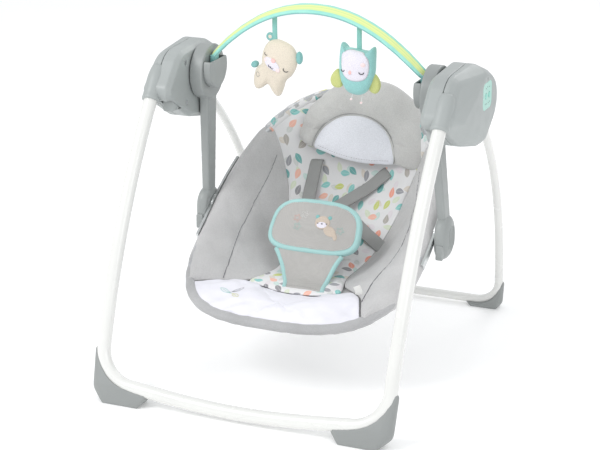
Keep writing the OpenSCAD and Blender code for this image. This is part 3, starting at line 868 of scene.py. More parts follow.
def build_pad():
    low = [(x, panel_top(x) - 0.002) for x in np.linspace(-0.092, 0.088, 36)]
    side = [(seam_x(s) + 0.004, s) for s in np.linspace(0.165, 0.474, 34)]
    ring = [(x, s) for x, s in seat_outline(0.0125, 200) if s > 0.486]
    outline = low + side + ring + [(-x, s) for x, s in reversed(side)]
    pad = dome("seat_pad_cushion", outline, crowned(0.012, 9), seat_at, 20, (0.0, 0.36))
    puff(pad, 0.0028, sewn_to_seat, 3.0, 0.03)
    for s, wide in ((0.255, 0.066), (0.352, 0.096)):
        line = laid_on(tree_of(pad), [seat_at(x, s, 0.014) for x in np.linspace(-wide, wide, 30)])
        crease(pad, line, 0.0026, 0.0055)
    folds(pad, 0.0008, 0.04, 5, free_of_seat(0.008))
    cushion(pad, on_cloth, PRINT, "cloth_print", "seat_pad")


def build_front_panel():
    rim = [(x, s) for x, s in seat_outline(0.0115, 260) if s < (0.083 if x < 0 else 0.046)]
    rim.sort(key=lambda q: math.atan2(q[1] - 0.2, q[0]))
    end = [(seam_x(s, 1) - 0.0005, s) for s in np.linspace(0.050, 0.140, 16)]
    top = [(x, panel_top(x)) for x in np.linspace(0.108, -0.184, 60)]
    panel = dome("front_panel_cushion", rim + end + top, crowned(0.0105, 6), seat_at, 16, (0.0, 0.066))
    puff(panel, 0.005, sewn_to_seat, 3.0, 0.04)
    folds(panel, 0.0010, 0.034, 8, free_of_seat(0.008))
    cushion(panel, on_cloth, WHITE_SATIN, "cloth_white", "front_panel")
    tree = tree_of(panel)
    inks = [woven("leaf_thread_mint", rgb(158, 206, 196)), woven("leaf_thread_grey", rgb(164, 166, 170)),
            woven("leaf_thread_yellow", rgb(206, 206, 140))]
    for k, (x, s, turn) in enumerate(((-0.108, 0.078, 2.7), (-0.088, 0.087, 0.9), (-0.082, 0.062, -0.7))):
        c, d = math.cos(turn), math.sin(turn)
        leaf = [(0.012 * u, 0.0052 * math.sin(math.pi * (u + 1) / 2) * flip) for flip in (1, -1)
                for u in np.linspace(-flip, flip, 16)]
        rib = [(a, 0.0) for a in np.linspace(-0.016, 0.007, 12)]
        for word, run in (("outline", leaf), ("rib", rib)):
            places = [seat_at(x + a * c - b * d, s + a * d + b * c, 0.016) for a, b in run]
            line = laid_on(tree, places, 0.0002)
            stitches(f"leaf_{word}_{k + 1}", line, inks[k], "seat", 0.0026, 0.0004, 0.0005, "cloth_white")


# ---- head pillow ----

PILLOW = (Matrix.Translation((0.009, 0.172, 0.333)) @ Matrix.Rotation(math.radians(3), 4, "Z")
          @ Matrix.Rotation(math.radians(-17), 4, "X") @ Matrix.Rotation(math.radians(6.5), 4, "Y"))
PILLOW_BACK = PILLOW.inverted()


def on_pillow(x, z, out):
    """A place on the pillow's leaning plane, out of it towards the sitter."""
    return PILLOW @ Vector((x, -out, z))


def horseshoe(radius, up, low, corner):
    """A disc cut off flat below, with round corners."""
    reach = math.sqrt(radius ** 2 - (up - low) ** 2)
    start = math.atan2(low + corner - up, reach)
    arc = [(radius * math.cos(a), up + radius * math.sin(a)) for a in np.linspace(start, math.pi - start, 80)]
    side = [(reach - corner * (1 - math.cos(a)), low + corner * (1 - math.sin(a)))
            for a in np.linspace(0.15, math.pi / 2, 8)]
    base = [(x, low) for x in np.linspace(-side[-1][0], side[-1][0], 40)[1:-1]]
    return arc + [(-x, z) for x, z in side] + base + side[::-1]


def pillow_flat(p):
    """The place (x, z) on the pillow's plane under a point."""
    local = PILLOW_BACK @ Vector(p)
    return local[0], local[2]


def build_pillow():
    def heights(x, z, rho):
        rise = swell(rho, 5)
        hollow = 1 / (1 + math.exp((math.hypot(x, z * 1.08) - 0.0815) / 0.0035))
        return 0.004 + 0.020 * rise - 0.015 * hollow * rise, 0.004 - 0.013 * rise
    outline = [(x + 0.014, z) for x, z in horseshoe(0.134, 0.008, -0.004, 0.034)]
    pillow = dome("head_pillow_cushion", outline, heights, on_pillow, 34, (0.012, 0.045))
    puff(pillow, 0.008, lambda p: math.hypot(*pillow_flat(p)) < 0.076, 4.5, 0.05)
    folds(pillow, 0.0010, 0.045, 21)
    cushion(pillow, pillow_flat, PILLOW_PLUSH, "cloth_grey", "head_pillow")

    def sag(x):
        return -0.003 - 0.011 * math.cos(x / 0.080 * math.pi / 2)
    outline = [(0.080 * math.cos(a), 0.074 * math.sin(a)) for a in np.linspace(-0.03, math.pi + 0.03, 60)]
    outline += [(x, sag(x)) for x in np.linspace(-0.0795, 0.0795, 42)[1:-1]]
    insert = dome("pillow_insert_cushion", outline,
                  lambda x, z, rho: (0.0100 + 0.0065 * swell(rho, 3), 0.0100 - 0.004 * swell(rho, 3)),
                  on_pillow, 16, (0.0, 0.028))
    puff(insert, 0.004, None, 2.5, 0.02)
    folds(insert, 0.0006, 0.035, 4)
    cushion(insert, pillow_flat, INSERT_PLUSH, "cloth_white", "pillow_insert")
    arc = [on_pillow(0.0812 * math.cos(a), 0.0752 * math.sin(a), 0.0158)
           for a in np.linspace(-0.02, math.pi + 0.02, 90)]
    piping("pillow_piping", arc, 0.0010, "seat", THREAD_GREY, "cloth_grey")
    tree = tree_of(insert)
    hem = [pressed_on(tree, on_pillow, x, sag(x) + 0.007, 0.0001) for x in np.linspace(-0.072, 0.072, 60)]
    stitches("pillow_hem_thread", hem, THREAD_GREY, "seat", slot="cloth_white")


# ---- harness ----

WAIST = Matrix.Translation((0, -0.004, 0.242)) @ Matrix.Rotation(math.radians(52), 4, "X")
WAIST_BACK = WAIST.inverted()


def on_waist(x, y, out):
    """A place on the waist pad, which is domed over the sitter's lap."""
    return WAIST @ Vector((x, y, out + 0.010 * (1 - (x / 0.085) ** 2) - 0.005))


def waist_outline(inset=0.0):
    """A rounded pad that is a little wider below than above."""
    outline = oval(0, 0, 1, 1, count=110)
    sized = [((0.0855 - inset) * powered(c, 0.58), (0.0490 - inset) * powered(s, 0.66)) for c, s in outline]
    return [(x * (1 - 0.05 * y / 0.049), y - 0.001) for x, y in sized]


def binding(name, outline, where, wide, thick):
    """A ribbon folded over the edge of a pad all round."""
    t = thick / 2
    outer = [(-wide, t), (-wide * 0.5, t * 1.10), (0, t * 1.02), (0.0011, t * 0.6)]
    inner = [(-wide, t - 0.0008), (-wide * 0.5, t * 1.1 - 0.001), (-0.001, t * 0.9)]
    section = (outer + [(0.0015, 0)] + [(a, -b) for a, b in reversed(outer)]
               + [(a, -b) for a, b in inner] + [(-0.0004, 0)] + inner[::-1])
    pts = np.array(outline)
    loops, uv, run = [], [], 0.0
    for i, (x, y) in enumerate(pts):
        ahead = pts[(i + 1) % len(pts)] - pts[i - 1]
        ahead /= np.linalg.norm(ahead)
        run += np.linalg.norm(pts[i] - pts[i - 1]) if i else 0
        loops.append([where(x + ahead[1] * a, y - ahead[0] * a, b) for a, b in section])
        uv += [(run, a) for a, b in section]
    return loft(name, loops, uv, True)


def pressed_on(tree, where, x, y, lift):
    """The place on a cushion's face straight below a point of its plane, and lift above it."""
    start = Vector(where(x, y, 0.05))
    way = (Vector(where(x, y, -0.05)) - start).normalized()
    hit = tree.ray_cast(start, way)[0]
    return (hit if hit is not None else tree.find_nearest(start)[0]) - way * lift


def spot(name, outline, tree, where, thick, cover, body, slot):
    """A flat patch sewn onto a cushion: its outline is pressed on the cushion and filled as a low dome."""
    patch = dome(name, outline, lambda x, y, rho: (thick * (0.35 + 0.65 * swell(rho, 4)), -0.0006),
                 lambda x, y, h: pressed_on(tree, where, x, y, h), 8)
    return finish_piece(patch, body, cover, slot)


def build_waist_pad():
    pad = dome("waist_pad_cushion", waist_outline(),
               lambda x, y, rho: (0.0018 + 0.0055 * swell(rho, 2.6), -0.0018 - 0.0035 * swell(rho, 2.6)),
               on_waist, 20)
    puff(pad, 0.0014, None, 2.0, 0.01)
    folds(pad, 0.0004, 0.03, 14)
    cushion(pad, lambda p: (WAIST_BACK @ p)[:2], PAD_MESH, "cloth_grey", "waist_pad")
    edge = binding("waist_pad_binding", waist_outline(-0.0010), on_waist, 0.0075, 0.0118)
    finish_piece(edge, "seat", AQUA_CLOTH, "cloth_aqua")
    tree = tree_of(pad)
    inner = waist_outline(0.0065)
    line = [pressed_on(tree, on_waist, x, y, 0.0012) for x, y in inner + inner[:1]]
    stitches("waist_pad_thread", line, PIPING_WHITE, "seat", 0.0024, 0.0014, 0.0003, "cloth_aqua")
    pieces = [("patch_body", oval(0.033, -0.008, 0.0135, 0.0090, -0.5), 0.0010, TAN_FELT),
              ("patch_leg", oval(0.045, -0.017, 0.0040, 0.0070, 0.3), 0.0010, TAN_FELT),
              ("patch_head", oval(0.016, 0.0065, 0.0145, 0.0125, 0.05), 0.0016, TAN_FELT),
              ("patch_muzzle", oval(0.0155, 0.0020, 0.0105, 0.0062, 0.05), 0.0023, WHITE_PLUSH),
              ("patch_ear_1", oval(0.0050, 0.0165, 0.0036, 0.0036), 0.0013, TEAL_CLOTH),
              ("patch_ear_2", oval(0.0285, 0.0170, 0.0036, 0.0036), 0.0013, TEAL_CLOTH),
              ("patch_eye_1", oval(0.0078, 0.0045, 0.0011, 0.0011, 0, 10), 0.0032, THREAD_DARK),
              ("patch_eye_2", oval(0.0242, 0.0048, 0.0011, 0.0011, 0, 10), 0.0032, THREAD_DARK),
              ("patch_nose", oval(0.0158, 0.0040, 0.0018, 0.0012, 0, 12), 0.0036, THREAD_DARK)]
    for name, outline, thick, cover in pieces:
        spot(name, outline, tree, on_waist, thick, cover, "seat", "cloth_print")
    blooms = ((-0.020, 0.018, WHITE_THREAD), (-0.034, 0.010, CORAL_THREAD), (-0.030, -0.006, MINT_THREAD),
              (0.052, -0.004, MINT_THREAD))
    for k, (x, y, ink) in enumerate(blooms):
        reach = [(t, 0.0052 + 0.0022 * math.cos(5 * t)) for t in np.linspace(0, 2 * math.pi, 41)]
        petals = [pressed_on(tree, on_waist, x + r * math.cos(t), y + r * math.sin(t), 0.0002)
                  for t, r in reach]
        stitches(f"pad_flower_{k + 1}", petals, ink, "seat", 0.0018, 0.0003, 0.0004, "cloth_print")


def crotch_half(t):
    """Half the crotch panel's width at a share t down it."""
    return 0.0375 + 0.0275 * (1 - t) ** 2.4


def crotch_at(x, t, out):
    """A place on the crotch panel: x across, t down from 0 to 1, out of its face."""
    y = -0.034 - 0.074 * t
    z = 0.206 - 0.045 * t - 0.013 * math.sin(math.pi * t) ** 1.5
    slope = math.radians(30)
    return Vector((x + 0.019 * t, y - math.sin(slope) * out, z + math.cos(slope) * out - 0.05 * abs(x)))


def build_crotch_panel():
    loops = []
    for t in np.linspace(0, 1, 36):
        half = crotch_half(t)
        face = [(half * u, 0.0014 + 0.0034 * swell(u, 6)) for u in np.linspace(1, -1, 25)]
        back = [(half * u, -0.0014 - 0.0016 * swell(u, 6)) for u in np.linspace(-1, 1, 25)]
        loops.append([crotch_at(x, t, h) for x, h in face + back])
    panel = loft("crotch_panel_cushion", loops)
    puff(panel, 0.002, None, 1.5, 0.02)
    folds(panel, 0.0004, 0.025, 31)
    cushion(panel, lambda p: p[:2], PAD_MESH, "cloth_grey", "crotch_panel")
    for side, word in SIDES:
        path = [crotch_at(side * (crotch_half(t) - 0.0015), t, 0.0004) for t in np.linspace(0.0, 1.0, 50)]
        section = oval(0, 0, 0.0042, 0.0044, count=18)
        strip = sweep(f"crotch_binding_{word}", path, section, ref=(0, 0.5, 0.86))
        finish_piece(strip, "seat", AQUA_CLOTH, "cloth_aqua")
    hem = [crotch_at(x, 0.955, 0.0052) for x in np.linspace(-0.032, 0.032, 20)]
    stitches("crotch_hem_thread", hem, THREAD_GREY, "seat", slot="cloth_grey")


def lay_strap(kind, side, run, count, thick):
    """A strap along a run of (x, s, lift) places over the seat. The right one stands for the CAD pair."""
    path = curve([seat_at(x, s, lift) for x, s, lift in run], count)
    section = strap_section(0.025, thick)
    strap = sweep(f"{kind}_strap_{dict(SIDES)[side]}", path, section, ref=(0, -0.7, 0.72))
    finish_piece(turned_flat(strap, path, section), "seat", STRAP_CLOTH, "webbing",
                 *((f"{kind}_straps",) if side > 0 else ()))


def build_straps():
    shoulders = {-1: [(-0.070, 0.440, 0.008), (-0.0702, 0.434, 0.0185), (-0.0715, 0.402, 0.0205),
                      (-0.070, 0.372, 0.024), (-0.062, 0.345, 0.034)],
                 1: [(0.076, 0.432, 0.008), (0.071, 0.428, 0.0185), (0.043, 0.404, 0.0205),
                     (0.020, 0.385, 0.025), (0.000, 0.364, 0.032), (-0.016, 0.345, 0.038)]}
    waist = [(0.040, 0.326, 0.034), (0.060, 0.315, 0.0215), (0.080, 0.303, 0.0150), (0.094, 0.295, 0.0075),
             (0.106, 0.289, 0.0028), (0.114, 0.285, 0.0012)]
    for side, run in shoulders.items():
        lay_strap("shoulder", side, run, 40, 0.0030)
        lay_strap("waist", side, [(side * x, s, lift) for x, s, lift in waist], 30, 0.0024)


def turned_flat(obj, path, section):
    """Lays a strap's section flat on the seat along its whole run."""
    points = [Vector(p) for p in path]
    at = []
    for i, p in enumerate(points):
        ahead = (points[min(i + 1, len(points) - 1)] - points[max(i - 1, 0)]).normalized()
        x, s, _ = seat_of(p)
        out = (seat_at(x, s, 0.01) - seat_at(x, s, 0.0)).normalized()
        side = ahead.cross(out).normalized()
        out = side.cross(ahead)
        at += [p + out * a + side * b for a, b in section]
    set_coords(obj, [list(p) for p in at])
    return outward(obj)


def build_tag():
    """A blank cloth tag, folded double, sewn into the seam at the panel's right end."""
    root = seat_at(0.134, 0.108, 0.021)
    path = [root + Vector((0.0015 * math.sin(4 * t), -0.007 * t, 0.0175 * t)) for t in np.linspace(0, 1, 12)]
    tag = sweep("blank_tag", path, strap_section(0.012, 0.0011), ref=(1, 0.45, 0))
    finish_piece(tag, "seat", TAG_CLOTH, "cloth_white", "label_tag")


# ---- frame tubes ----

# Each tube's radius, its leg's top and lower corner as (y, z), and its bow between them, forwards above 0
FRONT_RADIUS, FRONT_TOP, FRONT_CORNER, FRONT_BOW = 0.012, (-0.090, 0.517), (-0.3235, 0.092), 0.023
REAR_RADIUS, REAR_TOP, REAR_CORNER, REAR_BOW = 0.008, (0.096, 0.452), (0.333, 0.060), -0.044


def bowed(a, b, sag, t):
    """The place (y, z) at a share t along a leg from a to b, which bows out by the sag."""
    d = np.array(b) - np.array(a)
    d = d / np.linalg.norm(d)
    return np.array(a) * (1 - t) + np.array(b) * t + np.array([d[1], -d[0]]) * sag * 4 * t * (1 - t)


def leg_path(top, corner, sag, x_top, x_low, bend, bar, middle):
    """One bent tube: down a leg, round its lower corner, along the floor bar and up the other leg."""
    half = [Vector((x_top + (x_low - x_top) * t, *bowed(top, corner, sag, t))) for t in np.linspace(0, 1, 40)]
    for a in np.linspace(0, math.pi / 2, 24)[1:]:
        k = math.sin(a)
        half.append(Vector((x_low - bend * (1 - math.cos(a)), corner[0] + (bar[0] - corner[0]) * k,
                            corner[1] + (bar[1] - corner[1]) * k)))
    for t in np.linspace(0, 1, 20)[1:]:
        k = math.sin(math.pi / 2 * t)
        half.append(Vector(((x_low - bend) * (1 - t), bar[0] + (middle[0] - bar[0]) * k,
                            bar[1] + (middle[1] - bar[1]) * k)))
    return half + [Vector((-p.x, p.y, p.z)) for p in reversed(half[:-1])]


def build_tubes():
    path = leg_path(FRONT_TOP, FRONT_CORNER, FRONT_BOW, 0.268, 0.264, 0.066, (-0.344, 0.030), (-0.346, 0.017))
    front = sweep("front_leg_tube", path, ring_section(FRONT_RADIUS, 32))
    finish_piece(front, "frame", WHITE_TUBE, "tube_white", "front_leg_tube")
    path = leg_path(REAR_TOP, REAR_CORNER, REAR_BOW, 0.270, 0.250, 0.048, (0.345, 0.012), (0.345, 0.012))
    rear = sweep("rear_leg_tube", path, ring_section(REAR_RADIUS, 28))
    finish_piece(rear, "rear_legs", WHITE_TUBE, "tube_white", "rear_leg_tube")
    for side, word in SIDES:
        up = [Vector((side * (0.268 - 0.004 * t), *bowed(FRONT_TOP, FRONT_CORNER, FRONT_BOW, t)))
              for t in np.linspace(-0.035, 0.098, 22)]
        sleeve = sweep(f"leg_sleeve_{word}", up, ring_section(FRONT_RADIUS + 0.0032, 40),
                       scale=lambda t: (1.15 - 0.13 * t - 0.27 * max(0.0, 1 - t / 0.45) ** 2
                                        + 0.06 * math.exp(-((t - 0.95) / 0.05) ** 2)))
        finish_piece(sleeve, "frame", GREY_SHELL, "shell_grey")


# ---- hard parts ----

def soften(node, voxel, passes, cover, slot):
    """A moulded copy of a CAD part, with its edges rounded."""
    source = NODES[node]
    body = source["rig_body"]
    obj = source.copy()
    obj.data = source.data.copy()
    obj.name = f"{node}_moulded"
    bpy.context.collection.objects.link(obj)
    bpy.context.view_layer.update()
    place_now = obj.matrix_world.copy()
    obj.parent = None
    obj.data.transform(place_now)
    obj.matrix_world = Matrix.Identity(4)
    for key in list(obj.keys()):
        del obj[key]
    obj.modifiers.new("weld", "WELD").merge_threshold = 1e-6
    skin = obj.modifiers.new("remesh", "REMESH")
    skin.mode = "VOXEL"
    skin.voxel_size = voxel
    smooth = obj.modifiers.new("smooth", "SMOOTH")
    smooth.factor = 0.5
    smooth.iterations = passes
    return finish_piece(bake(obj), body, cover, slot, node)


def refine(node, cover, bevel):
    """A carried-over CAD part: its own mesh, with rounded edges and a real finish."""
    obj = NODES[node]
    obj.data.materials.clear()
    obj.data.materials.append(cover)
    obj.modifiers.new("weld", "WELD").merge_threshold = 1e-6
    if bevel:
        edge = obj.modifiers.new("edge", "BEVEL")
        edge.width = bevel
        edge.segments = 3
        edge.limit_method = "ANGLE"
        edge.angle_limit = math.radians(40)


def build_hard_parts():
    for half in ("right_inner", "right_outer", "left_inner", "left_outer"):
        soften(f"housing_{half}", 0.0013, 8, GREY_SHELL, "shell_grey")
    soften("battery_door", 0.0010, 5, GREY_SHELL, "shell_grey")
    for _, word in SIDES:
        soften(f"swing_arm_{word}", 0.0014, 6, GREY_ARM, "arm_grey")
        soften(f"front_foot_{word}", 0.0015, 14, GREY_FOOT, "arm_grey")
        soften(f"rear_foot_{word}", 0.0013, 12, GREY_FOOT, "arm_grey")
        refine(f"recline_button_{word}", GREY_ARM, 0.0020)
    soften("toy_bar_pods", 0.0009, 5, GREY_ARM, "arm_grey")
    soften("rear_knuckles", 0.0009, 5, GREY_ARM, "arm_grey")
    soften("toy_bar_ends", 0.0007, 5, TEAL_CLOTH, "cloth_aqua")
    for node, cover, bevel in (("control_panel", PANEL_AQUA, 0.0002), ("power_button", AQUA_PLASTIC, 0.0007),
                               ("music_button", AQUA_PLASTIC, 0.0007), ("circuit_board", BOARD_GREEN, 0.0002),
                               ("speaker", BLACK, 0.0006), ("batteries", CELL, 0.0008),
                               ("battery_contacts", STEEL, 0.0002), ("drive_coil", COPPER, 0.0004),
                               ("drive_magnet", DARK, 0.0005), ("magnet_lever", GREY_ARM, 0.0006),
                               ("hub_bushings", WHITE_PLASTIC, 0.0004), ("hub_axles", STEEL, 0.0006),
                               ("fold_pins", STEEL, 0.0005), ("housing_screws", STEEL, 0.0003),
                               ("recline_axles", STEEL, 0.0005), ("seat_brackets", BRACKET_METAL, 0.0009),
                               ("seat_ring", STEEL, 0.0), ("toy_bar_core", WHITE_PLASTIC, 0.0002),
                               ("harness_buckle", DARK, 0.0018)):
        refine(node, cover, bevel)


# Middles of the round parts: fold buttons as (x, z), hubs, recline housings and control panel as (y, z)
FOLD, HUB, RECLINE, PANEL = (0.2455, 0.4660), (0.008, 0.510), (0.0345, 0.2425), (0.045, 0.506)


def build_fold_buttons():
    outline = oval(*FOLD, 0.0099, 0.0114, count=60, power=0.4)
    for side, word in SIDES:
        button = dome(f"fold_button_cap_{word}", outline,
                      lambda x, z, rho: (0.0130 + 0.0024 * swell(rho, 5), -0.0100),
                      lambda x, z, h: Vector((side * x, -0.0797 - 0.31 * (x - FOLD[0]) - h, z)), 16)
        finish_piece(button, f"fold_button_{word}", GREY_SHELL, "arm_grey", f"fold_button_{word}")


def build_details():
    for side, word in SIDES:
        rim = [(side * 0.2062, y, z) for y, z in oval(*HUB, 0.0462, 0.0462, count=64)]
        piping(f"drum_rim_{word}", rim, 0.0012, "swing", GREY_ARM, "arm_grey", True)
        pod = dome(f"recline_cover_{word}", oval(*RECLINE, 0.0325, 0.0395, count=90, power=0.85),
                   lambda y, z, rho: (0.0132 * swell(rho, 2.6), -0.0128 * swell(rho, 14)),
                   lambda y, z, h: Vector((side * (0.2340 + h), y, z)), 24)
        finish_piece(pod, "swing", GREY_ARM, "arm_grey", f"recline_housing_{word}")
        tree = tree_of(pod)
        for k in range(5):
            reach = 0.026 - 0.0035 * abs(k - 2)
            heights = np.linspace(RECLINE[1] - reach, RECLINE[1] + reach, 24)
            line = [(side * 0.26, RECLINE[0] + 0.008 * (k - 2), z) for z in heights]
            piping(f"recline_rib_{word}_{k + 1}", laid_on(tree, line), 0.0008, "swing", GREY_ARM, "arm_grey")
    marks = ((-9, 14), (0, 15), (9, 14), (-12, -13), (-4, -14), (5, -14), (12, -13))
    for k, (y, z) in enumerate(marks):
        stub = [(x, PANEL[0] + y / 1000, PANEL[1] + z / 1000) for x in (0.2994, 0.29985)]
        dot = sweep(f"panel_mark_{k + 1}", stub, ring_section(0.0011, 16))
        finish_piece(dot, "frame", DARK, "dark_plastic")


# ---- toy bar and toys ----

BAND_TILT = math.radians(21)
TOY_Y = -0.0075


def arch_at(a):
    """The middle line of the toy bar, from its right end at 0 to its left end at pi."""
    return Vector((0.1993 * math.cos(a), 0.002 - 0.011 * math.sin(a),
                   0.542 + 0.1015 * (1 - abs(math.cos(a)) ** 2.1)))


def band_frame(a):
    """The band's place, its way across towards the rear edge and its way out of its outer face."""
    p = arch_at(a)
    ahead = (arch_at(a + 0.002) - arch_at(a - 0.002)).normalized()
    out = Vector((ahead.z, 0, -ahead.x)).normalized()
    across, turn = Vector((0, 1, 0)), BAND_TILT
    return p, across * math.cos(turn) + out * math.sin(turn), out * math.cos(turn) - across * math.sin(turn)


def band_half(a):
    """Half the band's width, which is fullest at the top of the arch."""
    return 0.0088 + 0.0052 * math.sin(a) ** 0.7


def build_toy_bar():
    spots = [math.radians(a) for a in np.linspace(3.0, 177.0, 170)]
    loops, across = [], []
    for a in spots:
        p, wide, out = band_frame(a)
        half = band_half(a)
        ring = oval(0, 0, 1, 1, count=40)
        loops.append([p + wide * (half * powered(c, 0.6)) + out * (0.0043 * powered(s, 0.75))
                      for c, s in ring])
        across += [(a * 0.2, c * 0.014) for c, s in ring]
    band = loft("toy_bar_cover", loops, across)
    folds(band, 0.00030, 0.02, 6)
    finish_piece(band, "toy_bar", BAND, "cloth_aqua", "toy_bar_sleeve")
    for side, word in ((-1, "front"), (1, "rear")):
        frames = [(a, *band_frame(a)) for a in spots]
        edge = [p + wide * side * (band_half(a) - 0.0004) - out * 0.0012 for a, p, wide, out in frames]
        piping(f"toy_bar_piping_{word}", edge, 0.0013, "toy_bar", TEAL_CLOTH, "cloth_aqua")


def stuffed(name, outline, y, thick, body, cover, slot, node=None, power=4, cap=0.003):
    """A stuffed shape cut from two layers of plush, upright across the toy's plane."""
    obj = dome(name, outline, lambda x, z, rho: (thick * swell(rho, power), -thick * swell(rho, power)),
               lambda x, z, h: Vector((x, y - h, z)), 14)
    puff(obj, cap, None, 5.0, 0.03)
    finish_piece(obj, body, cover, slot, *((node,) if node else ()))
    return obj


def toy_front(x, z, h):
    """A place in front of the toys' middle plane."""
    return Vector((x, TOY_Y - h, z))


def thread_line(name, points, tree, radius, body, lift, cover=THREAD_DARK):
    """A line of embroidery on a toy's face."""
    line = [pressed_on(tree, toy_front, x, z, lift) for x, z in points]
    return piping(name, line, radius, body, cover, "dark_plastic")


def bowl(x, z, wide, deep, turn, start=math.pi, stop=2 * math.pi):
    """The points of a sleeping eye or a smile."""
    c, s = math.cos(turn), math.sin(turn)
    arc = [(wide * math.cos(t), deep * math.sin(t)) for t in np.linspace(start, stop, 20)]
    return [(x + a * c - b * s, z + a * s + b * c) for a, b in arc]


def toy_ribbon(name, node, x, top, low, body):
    """The ribbon that a toy hangs on."""
    path = curve([(x, -0.0078, top), (x + 0.0004, -0.0086, (top + low) / 2), (x + 0.0008, -0.0080, low)], 24)
    ribbon = sweep(name, path, strap_section(0.0086, 0.0026), ref=(0.97, 0.24, 0))
    finish_piece(ribbon, body, RIBBON, "cloth_aqua", node)


def mm(points):
    """Places given in millimetres."""
    return [(x / 1000, z / 1000) for x, z in points]


def build_bear():
    turn = math.radians(-36)
    outline = curve(mm([(-73, 584), (-56, 580), (-42, 572), (-35, 559), (-34, 540), (-42, 520), (-53, 507),
                        (-60, 491), (-66, 481), (-73, 481), (-80, 489), (-87, 499), (-94, 498), (-103, 492),
                        (-112, 491), (-117, 498), (-117, 513), (-113, 529), (-103, 540), (-101, 552),
                        (-96, 568), (-86, 580)]), 96, True)
    bear = stuffed("bear_body", outline, TOY_Y, 0.0145, "bear", BEIGE_PLUSH, "plush_beige", "bear_plush", 3)
    tree = tree_of(bear)
    patches = (("muzzle", oval(-0.076, 0.5415, 0.0175, 0.0085, turn), 0.0014, WHITE_PLUSH),
               ("nose", oval(-0.073, 0.5480, 0.0048, 0.0036, turn), 0.0024, PINK_CLOTH),
               ("cheek_1", oval(-0.0885, 0.5490, 0.0036, 0.0032, turn), 0.0018, BLUSH),
               ("cheek_2", oval(-0.0640, 0.5315, 0.0042, 0.0038, turn), 0.0018, BLUSH))
    for name, shape, thick, cover in patches:
        spot(f"bear_{name}", shape, tree, toy_front, thick, cover, "bear", "plush_beige")
    for name, place, radius, lift in (("eye_1", (-0.0880, 0.5590, 0.0032, 0.0026), 0.0006, 0.0003),
                                      ("eye_2", (-0.0500, 0.5330, 0.0044, 0.0036), 0.0007, 0.0003),
                                      ("mouth_1", (-0.0788, 0.5392, 0.0026, 0.0022), 0.0005, 0.0020),
                                      ("mouth_2", (-0.0745, 0.5361, 0.0026, 0.0022), 0.0005, 0.0020)):
        thread_line(f"bear_{name}", bowl(*place, turn), tree, radius, "bear", lift)
    swirl = bowl(-0.1040, 0.5200, 0.0034, 0.0044, 0.2, 0, 1.9 * math.pi)
    thread_line("bear_swirl", swirl, tree, 0.0004, "bear", 0.0003, THREAD_GREY)
    ear = oval(-0.0305, 0.5530, 0.0060, 0.0115, 0.05)
    stuffed("bear_ear_right", ear, -0.0060, 0.0055, "bear", TEAL_CLOTH, "plush_aqua")
    hand = oval(-0.1145, 0.5350, 0.0072, 0.0060, 0.5)
    stuffed("bear_hand", hand, -0.0090, 0.0058, "bear", TEAL_CLOTH, "plush_aqua")
    ring = [(x, -0.0085, z) for x, z in oval(-0.0850, 0.5875, 0.0052, 0.0052, count=40)]
    piping("bear_ear_left", ring, 0.0024, "bear", TEAL_CLOTH, "plush_aqua", True)
    lining = oval(-0.0850, 0.5875, 0.0042, 0.0042)
    stuffed("bear_ear_lining", lining, -0.0085, 0.0018, "bear", BEIGE_PLUSH, "plush_beige")
    toy_ribbon("bear_ribbon", "bear_strap", -0.0768, 0.6262, 0.5800, "bear")


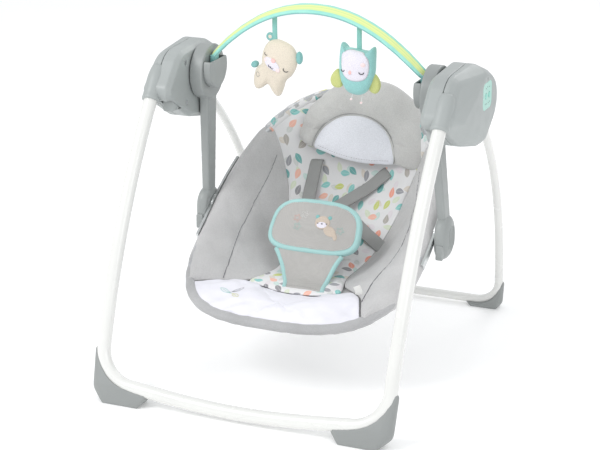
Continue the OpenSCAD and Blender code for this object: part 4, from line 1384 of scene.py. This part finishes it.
def build_owl():
    outline = curve(mm([(51, 589), (57.5, 581.5), (68, 580.5), (80, 580), (92.5, 578.5), (101, 579),
                        (110.5, 585), (114, 580), (113.5, 560), (112.5, 540), (107, 521), (97.5, 505),
                        (86, 498.5), (74, 498.5), (62, 503), (53, 516), (48, 530), (46.5, 550), (47, 570),
                        (48.5, 583)]), 110, True)
    owl = stuffed("owl_body", outline, TOY_Y, 0.0150, "owl", AQUA_PLUSH, "plush_aqua", "owl_plush", 5, 0.0025)
    tree = tree_of(owl)
    face = curve(mm([(54.5, 560), (56, 572), (64, 578.5), (79, 579.5), (93, 576.5), (103, 568), (106.2, 555),
                     (104.5, 540), (98.5, 530), (86, 525.5), (70, 526.5), (59, 535), (55, 548)]), 60, True)
    spot("owl_face", face, tree, toy_front, 0.0022, WHITE_PLUSH, "owl", "cloth_white")
    cheek, beak = oval(0.0960, 0.5560, 0.0050, 0.0046), oval(0.0725, 0.5410, 0.0030, 0.0040)
    spot("owl_cheek", cheek, tree, toy_front, 0.0026, BLUSH, "owl", "plush_beige")
    spot("owl_beak", beak, tree, toy_front, 0.0038, PINK_CLOTH, "owl", "plush_beige")
    thread_line("owl_eye_1", bowl(0.0585, 0.5445, 0.0032, 0.0030, 0.0), tree, 0.0007, "owl", 0.0021)
    thread_line("owl_eye_2", bowl(0.0935, 0.5430, 0.0042, 0.0034, 0.0), tree, 0.0008, "owl", 0.0026)
    left = curve(mm([(45.5, 542), (37, 536), (31, 524), (34, 512), (43, 508), (53, 512), (52, 530)]),
                 48, True)
    right = curve(mm([(108, 538), (117, 531), (121.5, 518), (118, 506), (110, 502), (101, 508), (103, 525)]),
                  48, True)
    stuffed("owl_wing_left", left, -0.0110, 0.0060, "owl", LIME_PLUSH, "plush_aqua")
    stuffed("owl_wing_right", right, -0.0040, 0.0060, "owl", LIME_PLUSH, "plush_aqua")
    for k, (x, reach) in enumerate(((0.0700, 0.4900), (0.0885, 0.4850))):
        leg = curve([(x, TOY_Y, 0.5030), (x + 0.0006, -0.0080, 0.4960), (x - 0.0012, -0.0080, reach)], 14)
        piping(f"owl_leg_{k + 1}", leg, 0.0009, "owl", WHITE_THREAD, "cloth_white")
        foot = oval(x - 0.0014, reach - 0.0008, 0.0026, 0.0020, 0.3)
        stuffed(f"owl_foot_{k + 1}", foot, -0.0080, 0.0018, "owl", BLUSH, "plush_beige")
    toy_ribbon("owl_ribbon", "owl_strap", 0.0822, 0.6235, 0.5760, "owl")


# ---- everything ----

add_camera()
add_studio()
build_hard_parts()
build_details()
build_fold_buttons()
build_tubes()
build_sling()
build_pad()
for side_sign, side_name in SIDES:
    build_bolster(side_sign, side_name)
build_front_panel()
build_pillow()
build_waist_pad()
build_crotch_panel()
build_straps()
build_tag()
build_toy_bar()
build_bear()
build_owl()
